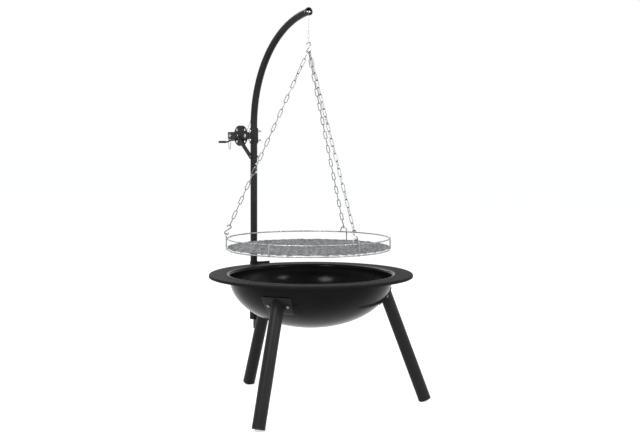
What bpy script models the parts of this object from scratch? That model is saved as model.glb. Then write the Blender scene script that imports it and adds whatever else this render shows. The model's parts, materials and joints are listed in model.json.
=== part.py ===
"""Fire pit with a grill that hangs on three chains from a winch-raised cable.

Metres, +Z up. Everything is worked out around the bowl's axis, with the mast at +Y and
its arm reaching back over the bowl. The root empty then moves the whole object so that
its box is centred over the origin, with the feet on z = 0.
"""

import math

import bmesh
import bpy
from mathutils import Matrix, Vector

# Clearance between touching pieces
GAP = 0.0003

# Bowl
BOWL_RADIUS = 0.272
BOWL_DEPTH = 0.167
BOWL_WALL = 0.002
BOWL_FILLET = 0.010
RIM_RADIUS = 0.340
RIM_TOP = 0.437
RIM_LIP = 0.0095
RIM_EDGE = 0.0015
BOWL_CENTRE_Z = RIM_TOP - BOWL_FILLET
BOWL_STEPS = 48
FACET = 360.0 / BOWL_STEPS

# Legs and the plates that carry them
LEG_AZIMUTHS = {"rear": 90.0, "left": 210.0, "right": 330.0}
LEG_RADIUS = 0.0212
LEG_WALL = 0.0016
LEG_SPLAY = math.radians(20.5)
LEG_FOOT_REACH = 0.388
LEG_TOP_DROP = 0.050
FLANGE_TOP_DROP = 0.046
FLANGE_BOTTOM_DROP = 0.103
LEG_BOLT_DROP = 0.075
LEG_TOP_Z = RIM_TOP - LEG_TOP_DROP
FLANGE_THICKNESS = 0.003
FLANGE_TOP_Z = RIM_TOP - FLANGE_TOP_DROP
FLANGE_BOTTOM_Z = RIM_TOP - FLANGE_BOTTOM_DROP
LEG_BOLT_Z = RIM_TOP - LEG_BOLT_DROP
BOLT_BAND = math.radians(4.5)
BOLT_HEAD_RADIUS = 0.0062
BOLT_HEAD_HEIGHT = 0.0042
BOLT_SHANK_RADIUS = 0.0029
NUT_RADIUS = 0.0056
NUT_HEIGHT = 0.005
CAP_THICKNESS = 0.004
CAP_PLUG = 0.020
CAP_FLAT = 0.002

# Mast, arm and the fittings at their ends
MAST_RADIUS = 0.0122
MAST_WALL = 0.0015
MAST_FROM_RIM = 0.0006
MAST_FOOT_Z = 0.241
MAST_Y = RIM_RADIUS + MAST_FROM_RIM + MAST_RADIUS
REEL_Z = 0.8945
WINCH_REACH = 0.088
SADDLE_HALF_HEIGHT = 0.0275
JOINT_BELOW_REEL = 0.116
JOINT_Z = REEL_Z - JOINT_BELOW_REEL
JOINT_BOLT_OFFSET = 0.0145
SPIGOT_HALF = 0.035
TIP_Y = 0.010
ARM_BEND = math.radians(84.0)
ARM_STEPS = 12
ARM_STRAIGHT = 0.00958
ARM_RADIUS = (MAST_Y - TIP_Y) / (1.0 - math.cos(ARM_BEND))
BEND_Z = REEL_Z + SADDLE_HALF_HEIGHT + ARM_STRAIGHT
TIP_Z = BEND_Z + ARM_RADIUS * math.sin(ARM_BEND)
COLLAR_WALL = 0.0016
COLLAR_LENGTH = 0.006
NOTCH_WIDTH = 0.006
MAST_SCREW_Z = 0.5277
MAST_SCREW_AZIMUTH = math.radians(235.0)
SCREW_HEAD_RADIUS = 0.0042
SCREW_HEAD_HEIGHT = 0.0025
SCREW_SHANK_RADIUS = 0.0019
SOCKET_WALL = 0.0022
SOCKET_TOP_Z = 0.276
SOCKET_FLOOR = 0.003
WEB_THICKNESS = 0.006
WEB_BOTTOM_Z = 0.205
STRAP_WALL = 0.0018
STRAP_HEIGHT = 0.0085
STRAP_OPENING = 0.004
STRAP_RISE = 0.007
STRAP_TAB_ANGLE = math.radians(9.6)

# Cable, roller and hook
CABLE_RADIUS = 0.001
CABLE_Y = 0.014
ROLLER_RADIUS = 0.0047
ROLLER_GROOVE = 0.0035
ROLLER_LENGTH = 0.0178
ROLLER_PIN_RADIUS = 0.0018
ENTRY_RISE = 0.03542
ENTRY_Z = BEND_Z + ENTRY_RISE
ENTRY_RADIUS = 0.0042
HOOK_BELOW_TIP = 0.1036
HOOK_TOP_Z = TIP_Z - HOOK_BELOW_TIP
HOOK_HEIGHT = 0.036
HOOK_BEND = 0.0064
HOOK_WIRE = 0.0018
HOOK_PLANE = math.radians(-36.0)
EYE_LENGTH = 0.0165
EYE_WIDTH = 0.0085
FERRULE_RADIUS = 0.0026
FERRULE_LENGTH = 0.015

# Chains and grate
CHAIN_AZIMUTHS = {"left": 147.5, "rear": 27.5, "front": 267.5}
CHAIN_SEATS = {"left": 210.0, "rear": 270.0, "front": 330.0}
CHAIN_LINKS = 24
CHAIN_WIRE = 0.0013
CHAIN_WIDTH = 0.0120
CHAIN_BITE = 0.0012
LOWER_HOOK_HEIGHT = 0.034
LOWER_HOOK_BEND = 0.0062
GRATE_RADIUS = 0.271
GRATE_WIRE = 0.0022
LOWER_RING_Z = 0.5175
UPPER_RING_Z = 0.553
POST_TOP_Z = 0.5705
POST_HALF_WIDTH = 0.0112
POST_SHORT_SIDES = {"left": 1, "rear": 1, "front": -1}
RING_STEPS = 36
RING_FLAT = GRATE_RADIUS * math.cos(math.pi / RING_STEPS)
POST_RADIUS = RING_FLAT + 2 * GRATE_WIRE + GAP
UPRIGHT_AZIMUTHS = (207.5, 327.5)
MESH_THICKNESS = 0.002
MESH_EDGE = 0.006
MESH_LONG_WAY = 0.094
MESH_SHORT_WAY = 0.052
MESH_STRAND = 0.0052

# Winch
REEL_Y = MAST_Y + WINCH_REACH
REEL_RADIUS = 0.0375
REEL_HALF_WIDTH = 0.0065
REEL_FLANGE = 0.0015
REEL_CORE = 0.0205
REEL_HOLE_RADIUS = 0.0048
REEL_HOLE_PITCH = (REEL_CORE + REEL_RADIUS) / 2 - 0.001
REEL_HOLE_ANGLES = (50.0, 130.0, 230.0, 310.0)
AXLE_RADIUS = 0.0047
PLATE_INSIDE = 0.0092
PLATE_THICKNESS = 0.0025
PLATE_HALF_HEIGHT = 0.0135
PLATE_CORNER = 0.003
PLATE_OUTER_END = 0.071
OUTER_BOLT_Y = 0.055
INNER_BOLT_Y = -0.049
PLATE_BOLT_HEAD = 0.0068
SADDLE_THICKNESS = 0.003
SADDLE_HALF_ANGLE = math.radians(135.0)
SADDLE_BOLT_OFFSET = 0.0163
SADDLE_BOLT_TAIL = 0.010
SADDLE_NUT_RADIUS = 0.0047
BRACE_THICKNESS = 0.003
BRACE_HALF_WIDTH = 0.0085
BRACE_TOP = (-0.0112, -0.0115)
BRACE_DROP = 0.075
CRANK_RADIUS = 0.003
CRANK_PLANE = -0.0212
CRANK_REACH = 0.055
CRANK_DROP = 0.023
CRANK_HANDLE = 0.030
GRIP_RADIUS = 0.0042
GRIP_INSET = 0.004
WINDING_TURNS = 3
WINDING_PITCH = 0.0026
WINDING_RADIUS = REEL_CORE + GAP + CABLE_RADIUS
OUTER_TURN_RADIUS = WINDING_RADIUS + 2 * (CABLE_RADIUS + GAP)
OUTER_TURN = math.radians(330.0)
KEEPER_Y = 0.060
KEEPER_Z = -0.0085
KEEPER_WIRE = 0.001
KEEPER_HOLE = 0.0024
KEEPER_LENGTH = 0.040
KEEPER_HALF_WIDTH = 0.0045

# The object's box, front to back, is centred over the origin
CENTRE_Y = (REEL_Y + PLATE_OUTER_END - RIM_RADIUS * math.cos(math.radians(FACET / 2))) / 2

FINISHES = {
    "black_coat": ((0.018, 0.018, 0.019), 0.38, 0.0),
    "bowl_coat": ((0.012, 0.012, 0.013), 0.30, 0.0),
    "black_plastic": ((0.02, 0.02, 0.02), 0.55, 0.0),
    "zinc": ((0.62, 0.63, 0.64), 0.32, 1.0),
    "bright_steel": ((0.72, 0.72, 0.73), 0.22, 1.0),
    "grate_steel": ((0.42, 0.43, 0.44), 0.45, 1.0),
    "steel_cable": ((0.55, 0.56, 0.57), 0.40, 1.0),
}


# Scene set-up


def clear_scene():
    """Removes every object, so that the script can be run again."""
    for obj in list(bpy.data.objects):
        bpy.data.objects.remove(obj, do_unlink=True)


def make_collection(name):
    """Returns a new collection in the scene."""
    made = bpy.data.collections.new(name)
    bpy.context.scene.collection.children.link(made)
    return made


def make_finish(name):
    """Returns the Principled material of one finish."""
    colour, roughness, metallic = FINISHES[name]
    made = bpy.data.materials.new(name)
    made.use_nodes = True
    shader = made.node_tree.nodes["Principled BSDF"]
    shader.inputs["Base Color"].default_value = (*colour, 1.0)
    shader.inputs["Roughness"].default_value = roughness
    shader.inputs["Metallic"].default_value = metallic
    made.diffuse_color = (*colour, 1.0)
    return made


clear_scene()
PARTS = make_collection("fire_pit_with_adjustable_grill")
CUTTERS = make_collection("cutters")
MATERIALS = {name: make_finish(name) for name in FINISHES}
PIVOTS = {}


def pivot(name, point, parent=None):
    """Adds the empty that carries one moving body, on its joint's axis."""
    empty = bpy.data.objects.new(name, None)
    empty.empty_display_size = 0.03
    PARTS.objects.link(empty)
    above = PIVOTS[parent][1] if parent else Vector()
    empty.parent = PIVOTS[parent][0] if parent else None
    empty.location = Vector(point) - above
    PIVOTS[name] = (empty, Vector(point))


def seat(obj, carrier):
    """Parents an object, modelled around the bowl's axis, to its body's empty."""
    empty, point = PIVOTS[carrier]
    obj.parent = empty
    obj.matrix_parent_inverse = Matrix.Translation(-point)


def finish_piece(obj, carrier, finish):
    """Puts a piece on its body and gives it its material."""
    PARTS.objects.link(obj)
    seat(obj, carrier)
    obj.data.materials.append(MATERIALS[finish])
    return obj


def as_cutter(obj):
    """Makes an object a helper that Booleans read and renders leave out."""
    for held in list(obj.users_collection):
        held.objects.unlink(obj)
    CUTTERS.objects.link(obj)
    if obj.parent is None:
        seat(obj, "fire_pit")
    obj.hide_render = True
    obj.display_type = "WIRE"
    return obj


def boolean(obj, other, operation):
    """Cuts or joins another object's shape with a live Boolean."""
    step = obj.modifiers.new(f"{operation.lower()} {other.name}", "BOOLEAN")
    step.operation = operation
    step.solver = "EXACT"
    step.object = as_cutter(other) if other.name not in CUTTERS.objects else other
    return obj


def cut(obj, *cutters):
    for cutter in cutters:
        boolean(obj, cutter, "DIFFERENCE")
    return obj


def join(obj, *others):
    for other in others:
        boolean(obj, other, "UNION")
    return obj


# Shapes


def aimed(point, direction):
    """Returns the matrix that puts local +Z along a direction, at a point."""
    turn = Vector(direction).to_track_quat("Z", "Y").to_matrix().to_4x4()
    return Matrix.Translation(Vector(point)) @ turn


def ring_azimuth(radius, azimuth, z, centre_y=0.0):
    """Returns a point at an azimuth in degrees around the bowl's or the grate's axis."""
    angle = math.radians(azimuth)
    return Vector((radius * math.cos(angle), centre_y + radius * math.sin(angle), z))


def turned(name, profile, steps, place=None, closed=False, angle=math.tau):
    """Returns a turned shape. The profile at +X runs down its outer side."""
    mesh = bpy.data.meshes.new(name)
    edges = [(i, i + 1) for i in range(len(profile) - 1)]
    if closed:
        edges.append((len(profile) - 1, 0))
    mesh.from_pydata([(r, 0.0, z) for r, z in profile], edges, [])
    obj = bpy.data.objects.new(name, mesh)
    obj.matrix_basis = place or Matrix()
    screw = obj.modifiers.new("turn", "SCREW")
    screw.axis = "Z"
    screw.angle = angle
    screw.steps = screw.render_steps = steps
    screw.use_merge_vertices = angle == math.tau
    screw.merge_threshold = 0.00001
    screw.use_smooth_shade = True
    return obj


def rod(name, start, end, radius, sides=16):
    """Returns a closed round bar between two points."""
    start, end = Vector(start), Vector(end)
    shape = bmesh.new()
    bmesh.ops.create_cone(
        shape, cap_ends=True, segments=sides, radius1=radius, radius2=radius,
        depth=(end - start).length, matrix=aimed((start + end) / 2, end - start),
    )
    mesh = bpy.data.meshes.new(name)
    shape.to_mesh(mesh)
    shape.free()
    mesh.shade_smooth()
    mesh.set_sharp_from_angle(angle=math.radians(40))
    return bpy.data.objects.new(name, mesh)


def box(name, low, high):
    """Returns a block between two corners."""
    low, high = Vector(low), Vector(high)
    shape = bmesh.new()
    size = Matrix.Diagonal((*(high - low), 1.0))
    bmesh.ops.create_cube(shape, size=1.0, matrix=Matrix.Translation((low + high) / 2) @ size)
    mesh = bpy.data.meshes.new(name)
    shape.to_mesh(mesh)
    shape.free()
    return bpy.data.objects.new(name, mesh)


def wire(name, points, radius, sides=8, cyclic=False, caps=True):
    """Returns a round wire along points, as a curve."""
    curve = bpy.data.curves.new(name, "CURVE")
    curve.dimensions = "3D"
    curve.bevel_depth = radius
    curve.bevel_resolution = (sides - 4) // 2
    curve.use_fill_caps = caps
    spline = curve.splines.new("POLY")
    spline.points.add(len(points) - 1)
    for held, point in zip(spline.points, points):
        held.co = (*point, 1.0)
    spline.use_cyclic_u = cyclic
    spline.use_smooth = True
    return bpy.data.objects.new(name, curve)


def as_mesh(obj):
    """Returns a curve object's shape as a welded mesh object, and removes the curve."""
    bpy.context.scene.collection.objects.link(obj)
    bpy.context.view_layer.update()
    graph = bpy.context.evaluated_depsgraph_get()
    mesh = bpy.data.meshes.new_from_object(obj.evaluated_get(graph))
    shape = bmesh.new()
    shape.from_mesh(mesh)
    bmesh.ops.remove_doubles(shape, verts=shape.verts, dist=0.000005)
    bmesh.ops.recalc_face_normals(shape, faces=shape.faces)
    shape.to_mesh(mesh)
    shape.free()
    made = bpy.data.objects.new(obj.name + "_mesh", mesh)
    made.matrix_basis = obj.matrix_basis.copy()
    name = obj.name
    bpy.data.objects.remove(obj, do_unlink=True)
    made.name = name
    return made


def flat_plate(name, outlines, thickness, place):
    """Returns a flat plate from an outline and its holes, as a 2D curve."""
    curve = bpy.data.curves.new(name, "CURVE")
    curve.dimensions = "2D"
    curve.fill_mode = "BOTH"
    curve.extrude = thickness / 2
    for outline in outlines:
        spline = curve.splines.new("POLY")
        spline.points.add(len(outline) - 1)
        for held, point in zip(spline.points, outline):
            held.co = (point[0], point[1], 0.0, 1.0)
        spline.use_cyclic_u = True
    obj = bpy.data.objects.new(name, curve)
    obj.matrix_basis = place
    return obj


def circle(centre, radius, count):
    """Returns the points of a round outline."""
    return [
        (centre[0] + radius * math.cos(math.tau * i / count),
         centre[1] + radius * math.sin(math.tau * i / count))
        for i in range(count)
    ]


def rounded_outline(low, high, corner, steps=2):
    """Returns a rectangle's outline with round corners."""
    points = []
    corners = ((high[0], high[1], 0), (low[0], high[1], 90), (low[0], low[1], 180), (high[0], low[1], 270))
    for x, y, start in corners:
        centre_x = x - corner if x == high[0] else x + corner
        centre_y = y - corner if y == high[1] else y + corner
        for i in range(steps + 1):
            angle = math.radians(start + 90 * i / steps)
            points.append((centre_x + corner * math.cos(angle), centre_y + corner * math.sin(angle)))
    return points


def hollow_tube(name, points, radius, wall, sides=16):
    """Returns a tube with a bore, open at both ends."""
    obj = as_mesh(wire(name, points, radius, sides, caps=False))
    shell = obj.modifiers.new("wall", "SOLIDIFY")
    shell.thickness = wall
    shell.offset = -1.0
    return obj


def bolt(name, seat_point, outward, head, shank, grip, nut_radius, tail, steps=10):
    """Returns a dome-headed bolt with its nut, as one turned piece.

    The head's underside is at the seat point and the nut's face lies a grip below it.
    """
    radius, height = head
    base = -grip
    profile = [(0.0, height)]
    profile += [(radius * math.sin(a), height * math.cos(a)) for a in (math.radians(50),)]
    profile += [(radius, 0.0), (shank, 0.0)]
    if nut_radius:
        profile += [(shank, base), (nut_radius, base), (nut_radius, base - NUT_HEIGHT)]
        base -= NUT_HEIGHT
    if tail:
        profile += [(shank, base), (shank, base - tail)]
    profile += [(0.0, profile[-1][1])]
    return turned(name, profile, steps, aimed(seat_point, outward))


# Bowl and stand


def bowl_point(angle, offset=0.0):
    """Returns (radius, z) on the bowl's outer surface, moved out by an offset."""
    normal = Vector((math.cos(angle) / BOWL_RADIUS, -math.sin(angle) / BOWL_DEPTH)).normalized()
    radius = BOWL_RADIUS * math.cos(angle) + offset * normal.x
    return radius, BOWL_CENTRE_Z - BOWL_DEPTH * math.sin(angle) + offset * normal.y


def facet_turn():
    """Returns the turn that puts the middle of a facet of the bowl over each leg."""
    return Matrix.Rotation(math.radians(FACET / 2), 4, "Z")


def bowl_angle(z):
    """Returns the profile angle at which the bowl's outer surface has a height."""
    return math.asin((BOWL_CENTRE_Z - z) / BOWL_DEPTH)


def bowl_angles():
    """Returns the profile angles from rim to base, with a flat band under the leg bolts."""
    middle, low = bowl_angle(LEG_BOLT_Z), bowl_angle(FLANGE_BOTTOM_Z)
    rest = math.pi / 2 - low
    return [0.0, bowl_angle(FLANGE_TOP_Z), middle - BOLT_BAND, middle + BOLT_BAND, low,
            low + rest / 3, low + rest * 2 / 3, math.pi / 2]


def bowl_arc(offset, first=0, last=8):
    """Returns part of the bowl's profile, moved out by an offset."""
    return [bowl_point(angle, offset) for angle in bowl_angles()[first:last]]


def bolt_seat(azimuth, offset):
    """Returns a leg bolt's point off its facet of the bowl and the facet's outward normal."""
    (high_r, high_z), (low_r, low_z) = bowl_arc(offset, 2, 4)
    flat = math.cos(math.radians(FACET / 2))
    slope = Vector((high_z - low_z, (low_r - high_r) * flat)).normalized()
    around = math.radians(azimuth)
    normal = Vector((slope.x * math.cos(around), slope.x * math.sin(around), slope.y))
    return ring_azimuth((high_r + low_r) / 2 * flat, azimuth, (high_z + low_z) / 2), normal


def leg_bolt_places():
    """Yields the name and azimuth of each leg bolt."""
    for name, azimuth in LEG_AZIMUTHS.items():
        for number, side in enumerate((-1, 1), start=1):
            yield f"leg_bolt_{name}_{number}", azimuth + side * FACET


def leg_axis(azimuth):
    """Returns a leg's point on the ground and its unit direction upwards."""
    foot = ring_azimuth(LEG_FOOT_REACH, azimuth, 0.0)
    inward = -math.sin(LEG_SPLAY)
    around = math.radians(azimuth)
    return foot, Vector((inward * math.cos(around), inward * math.sin(around), math.cos(LEG_SPLAY)))


def build_bowl():
    """The fire bowl: a dished shell with a flat rim and a down-turned lip."""
    inner = bowl_arc(-BOWL_WALL)[::-1]
    fold = BOWL_RADIUS - BOWL_WALL + BOWL_FILLET
    curl = [math.radians(a) for a in (135, 90)]
    top = [(fold + BOWL_FILLET * math.cos(a), BOWL_CENTRE_Z + BOWL_FILLET * math.sin(a)) for a in curl]
    lip = [
        (RIM_RADIUS - RIM_EDGE, RIM_TOP), (RIM_RADIUS, RIM_TOP - RIM_EDGE),
        (RIM_RADIUS, RIM_TOP - RIM_LIP), (RIM_RADIUS - BOWL_WALL, RIM_TOP - RIM_LIP),
        (RIM_RADIUS - BOWL_WALL, RIM_TOP - BOWL_WALL),
    ]
    under = BOWL_FILLET - BOWL_WALL
    below = [(fold + under * math.cos(a), BOWL_CENTRE_Z + under * math.sin(a)) for a in reversed(curl)]
    outer = bowl_arc(0.0)
    profile = [(0.0, inner[0][1]), *inner[1:], *top, *lip, *below, *outer[:-1], (0.0, outer[-1][1])]
    bowl = finish_piece(turned("fire_bowl", profile, BOWL_STEPS, facet_turn()), "fire_pit", "bowl_coat")
    for name, azimuth in leg_bolt_places():
        point, normal = bolt_seat(azimuth, 0.0)
        hole = rod(f"hole_{name}", point - normal * 0.012, point + normal * 0.012,
                   BOLT_SHANK_RADIUS + GAP, 10)
        cut(bowl, hole)
    tab_at, outward = strap_screw_place()
    cut(bowl, rod("hole_strap_screw", tab_at - outward * 0.008, tab_at + outward * 0.008,
                  SCREW_SHANK_RADIUS + GAP, 8))


def build_flanges():
    """The curved plates that seat the legs on the bowl."""
    half = math.radians(FACET) * 1.5
    arc = bowl_arc(GAP, 1, 5)
    for name, azimuth in LEG_AZIMUTHS.items():
        place = Matrix.Rotation(math.radians(azimuth) - half, 4, "Z")
        plate = turned(f"leg_flange_{name}", arc, 3, place, angle=2 * half)
        shell = plate.modifiers.new("thickness", "SOLIDIFY")
        shell.thickness = FLANGE_THICKNESS
        shell.offset = 1.0
        finish_piece(plate, "fire_pit", "black_coat")
        for bolt_name, _ in leg_bolt_places():
            if f"_{name}_" in bolt_name:
                cut(plate, bpy.data.objects[f"hole_{bolt_name}"])


def build_leg_bolts():
    """Dome bolts through flange and bowl, with their nuts inside the bowl."""
    seat_offset = FLANGE_THICKNESS + 2 * GAP
    for name, azimuth in leg_bolt_places():
        point, normal = bolt_seat(azimuth, seat_offset)
        grip = seat_offset + BOWL_WALL + GAP
        piece = bolt(name, point, normal, (BOLT_HEAD_RADIUS, BOLT_HEAD_HEIGHT),
                     BOLT_SHANK_RADIUS, grip, NUT_RADIUS, 0.0, 8)
        finish_piece(piece, "fire_pit", "zinc")


def build_legs():
    """Three splayed tube legs, cut to their flanges, each with an end cap."""
    clear = FLANGE_THICKNESS + 2 * GAP
    arc = bowl_arc(clear)
    outline = [(0.0, RIM_TOP), (arc[0][0], RIM_TOP), *arc[:-1], (0.0, arc[-1][1])]
    inside = turned("bowl_space", outline, BOWL_STEPS, facet_turn())
    as_cutter(inside)
    reach = LEG_FOOT_REACH + LEG_RADIUS + 0.1
    ground = as_cutter(box("ground", (-reach, -reach, -0.05), (reach, reach, 0.0)))
    for name, azimuth in LEG_AZIMUTHS.items():
        foot, up = leg_axis(azimuth)
        heel = (LEG_RADIUS * math.sin(LEG_SPLAY) - CAP_FLAT) / up.z
        end = foot + up * heel
        start = end + up * (CAP_THICKNESS + GAP)
        top = foot + up * (LEG_TOP_Z / up.z)
        leg = hollow_tube(f"leg_{name}", [start, top], LEG_RADIUS, LEG_WALL, 16)
        finish_piece(leg, "fire_pit", "black_coat")
        cut(leg, inside)
        bore = LEG_RADIUS - LEG_WALL - GAP
        profile = [(0.0, CAP_PLUG), (bore, CAP_PLUG), (bore, CAP_THICKNESS),
                   (LEG_RADIUS, CAP_THICKNESS), (LEG_RADIUS, 0.0), (0.0, 0.0)]
        cap = turned(f"foot_cap_{name}", profile, 16, aimed(end, up))
        finish_piece(cap, "fire_pit", "black_plastic")
        cut(cap, ground)


def build_socket():
    """The cup that holds the mast's foot, on a web on the rear leg."""
    bore = MAST_RADIUS + GAP
    outer = bore + SOCKET_WALL
    floor = MAST_FOOT_Z - GAP
    place = Matrix.Translation((0.0, MAST_Y, 0.0))
    profile = [(0.0, SOCKET_TOP_Z), (outer, SOCKET_TOP_Z), (outer, floor - SOCKET_FLOOR),
               (0.0, floor - SOCKET_FLOOR)]
    socket = finish_piece(turned("mast_socket", profile, 20, place), "fire_pit", "black_coat")
    foot, up = leg_axis(LEG_AZIMUTHS["rear"])
    half = WEB_THICKNESS / 2
    inner_y = foot.y + up.y / up.z * (WEB_BOTTOM_Z + SOCKET_TOP_Z) / 2
    web = box("socket_web", (-half, inner_y, WEB_BOTTOM_Z), (half, MAST_Y, SOCKET_TOP_Z - 0.004))
    join(socket, web)
    bore_cutter = rod("mast_bore", (0.0, MAST_Y, floor), (0.0, MAST_Y, RIM_TOP), bore, 20)
    leg_cutter = rod("rear_leg_space", foot, foot + up * 0.4, LEG_RADIUS + GAP, 20)
    cut(socket, bore_cutter, leg_cutter)


def strap_screw_place():
    """Returns the strap screw's point on the lip's outer face and its outward direction."""
    azimuth = 90.0 - math.degrees(STRAP_TAB_ANGLE) * 0.72
    around = math.radians(azimuth)
    z = RIM_TOP - RIM_LIP / 2
    return ring_azimuth(RIM_RADIUS, azimuth, z), Vector((math.cos(around), math.sin(around), 0.0))


def build_strap():
    """The strap that holds the mast against the rim's lip, with its tab and screw."""
    bore = MAST_RADIUS + GAP
    low, high = RIM_TOP - STRAP_HEIGHT, RIM_TOP + STRAP_RISE
    place = Matrix.Translation((0.0, MAST_Y, 0.0))
    core = bore - STRAP_WALL / 2
    outline = [(core, high), (bore + STRAP_WALL, high), (bore + STRAP_WALL, low), (core, low)]
    strap = turned("rim_strap", outline, 14, place, closed=True)
    finish_piece(strap, "fire_pit", "black_coat")
    inner = RIM_RADIUS + GAP
    turn = Matrix.Rotation(math.pi / 2 - STRAP_TAB_ANGLE, 4, "Z")
    tab = turned("strap_tab", [(inner, high), (inner, low)], 6, turn, angle=STRAP_TAB_ANGLE * 0.93)
    shell = tab.modifiers.new("thickness", "SOLIDIFY")
    shell.thickness = STRAP_WALL
    shell.offset = 1.0
    lip_space = rod("lip_space", (0.0, 0.0, low - 0.01), (0.0, 0.0, high + 0.01), inner, 96)
    mast_space = rod("mast_space", (0.0, MAST_Y, low - 0.01), (0.0, MAST_Y, high + 0.01), bore, 24)
    opening = box("strap_opening", (-STRAP_OPENING, RIM_RADIUS - 0.01, low - 0.01),
                  (STRAP_OPENING, MAST_Y, high + 0.01))
    join(strap, tab)
    cut(strap, lip_space, mast_space, opening)
    tab_at, outward = strap_screw_place()
    cut(strap, bpy.data.objects["hole_strap_screw"])
    head_at = tab_at + outward * (STRAP_WALL + 2 * GAP)
    screw = bolt("strap_screw", head_at, outward, (SCREW_HEAD_RADIUS, SCREW_HEAD_HEIGHT),
                 SCREW_SHANK_RADIUS, STRAP_WALL + BOWL_WALL + 3 * GAP, 0.0, 0.0015, 8)
    finish_piece(screw, "fire_pit", "zinc")


# Mast and arm


def arm_point(angle):
    """Returns a point on the arm's centreline at an angle of its bend."""
    return Vector((0.0, MAST_Y - ARM_RADIUS * (1.0 - math.cos(angle)), BEND_Z + ARM_RADIUS * math.sin(angle)))


def arm_angle(y):
    """Returns the angle of the bend at which the arm's centreline has a y."""
    return math.acos(1.0 - (MAST_Y - y) / ARM_RADIUS)


def cross_hole(name, z, radius, along=(0, 1, 0)):
    """Returns a cutter that crosses the mast, from front to back unless told otherwise."""
    middle, reach = Vector((0.0, MAST_Y, z)), Vector(along) * (MAST_RADIUS + 0.01)
    return as_cutter(rod(name, middle - reach, middle + reach, radius, 8))


def build_mast():
    """The lower tube, the spigot in the joint, and the two bolts that cross it."""
    low = (0.0, MAST_Y, MAST_FOOT_Z)
    high = (0.0, MAST_Y, JOINT_Z - GAP / 2)
    mast = finish_piece(hollow_tube("mast_tube", [low, high], MAST_RADIUS, MAST_WALL, 12),
                        "mast_axis", "black_coat")
    spigot_radius = MAST_RADIUS - MAST_WALL - GAP
    ends = [(0.0, MAST_Y, JOINT_Z - SPIGOT_HALF), (0.0, MAST_Y, JOINT_Z + SPIGOT_HALF)]
    spigot = finish_piece(hollow_tube("mast_spigot", ends, spigot_radius, MAST_WALL, 12),
                          "mast_axis", "grate_steel")
    arm = build_arm()
    for name, offset, tube in (("lower", -1, mast), ("upper", 1, arm)):
        z = JOINT_Z + offset * JOINT_BOLT_OFFSET
        hole = cross_hole(f"hole_joint_{name}", z, SCREW_SHANK_RADIUS + GAP)
        cut(tube, hole)
        cut(spigot, hole)
        at = (0.0, MAST_Y + MAST_RADIUS + GAP, z)
        piece = bolt(f"joint_bolt_{name}", at, (0, 1, 0), (SCREW_HEAD_RADIUS, SCREW_HEAD_HEIGHT),
                     SCREW_SHANK_RADIUS, 2 * (MAST_RADIUS + GAP), SCREW_HEAD_RADIUS, 0.0, 8)
        finish_piece(piece, "mast_axis", "zinc")
    facing = Vector((math.cos(MAST_SCREW_AZIMUTH), math.sin(MAST_SCREW_AZIMUTH), 0.0))
    at = Vector((0.0, MAST_Y, MAST_SCREW_Z)) + facing * (MAST_RADIUS + GAP)
    cut(mast, rod("hole_mast_screw", at - facing * 0.006, at + facing * 0.004, SCREW_SHANK_RADIUS + GAP, 8))
    screw = bolt("mast_screw", at, facing, (SCREW_HEAD_RADIUS, SCREW_HEAD_HEIGHT),
                 SCREW_SHANK_RADIUS, 0.0, 0.0, 0.004, 8)
    finish_piece(screw, "mast_axis", "zinc")
    for name, z in saddle_bolt_heights():
        cut(arm, cross_hole(f"hole_{name}", z, BOLT_SHANK_RADIUS + GAP, (1, 0, 0)))
    return mast, arm


def build_arm():
    """The upper tube: straight through the winch, then bent over the bowl."""
    points = [Vector((0.0, MAST_Y, JOINT_Z + GAP / 2))]
    points += [arm_point(ARM_BEND * i / ARM_STEPS) for i in range(ARM_STEPS + 1)]
    arm = finish_piece(hollow_tube("mast_arm", points, MAST_RADIUS, MAST_WALL, 12),
                       "mast_axis", "black_coat")
    forward = (points[-1] - points[-2]).normalized()
    tip = points[-1]
    half = NOTCH_WIDTH / 2
    notch = box("cable_notch", (-half, tip.y - 0.01, tip.z - 0.03),
                (half, CABLE_Y + CABLE_RADIUS + 0.003, tip.z - ROLLER_RADIUS))
    entry_y = arm_point(math.asin((ENTRY_Z - BEND_Z) / ARM_RADIUS)).y
    entry = rod("cable_entry", (0.0, entry_y, ENTRY_Z), (0.0, entry_y + 0.03, ENTRY_Z), ENTRY_RADIUS, 12)
    pin_hole = rod("hole_roller_pin", (-0.03, ROLLER_Y, ROLLER_Z), (0.03, ROLLER_Y, ROLLER_Z),
                   ROLLER_PIN_RADIUS + GAP, 10)
    cut(arm, as_cutter(notch), entry, as_cutter(pin_hole))
    bore = MAST_RADIUS + GAP
    outline = [(bore, 0.0), (bore + COLLAR_WALL, 0.0),
               (bore + COLLAR_WALL, -COLLAR_LENGTH), (bore, -COLLAR_LENGTH)]
    collar = turned("arm_collar", outline, 20, aimed(tip, forward), closed=True)
    finish_piece(collar, "mast_axis", "black_plastic")
    cut(collar, notch)
    pin_half = math.sqrt(MAST_RADIUS ** 2 - ROLLER_PIN_RADIUS ** 2)
    pin = rod("roller_pin", (-pin_half, ROLLER_Y, ROLLER_Z), (pin_half, ROLLER_Y, ROLLER_Z),
              ROLLER_PIN_RADIUS, 10)
    finish_piece(pin, "mast_axis", "zinc")
    return arm


ROLLER_Y = CABLE_Y + ROLLER_GROOVE + CABLE_RADIUS + GAP
ROLLER_Z = arm_point(arm_angle(ROLLER_Y)).z


def build_roller():
    """The grooved roller that turns the cable down at the arm's tip."""
    half, bore = ROLLER_LENGTH / 2, ROLLER_PIN_RADIUS + GAP
    lip = half * 0.35
    profile = [
        (bore, half), (ROLLER_RADIUS, half), (ROLLER_RADIUS, lip), (ROLLER_GROOVE, 0.0),
        (ROLLER_RADIUS, -lip), (ROLLER_RADIUS, -half), (bore, -half),
    ]
    place = aimed((0.0, ROLLER_Y, ROLLER_Z), (1, 0, 0))
    finish_piece(turned("tip_roller", profile, 16, place, closed=True), "roller_axis", "bright_steel")


# Winch


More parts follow.
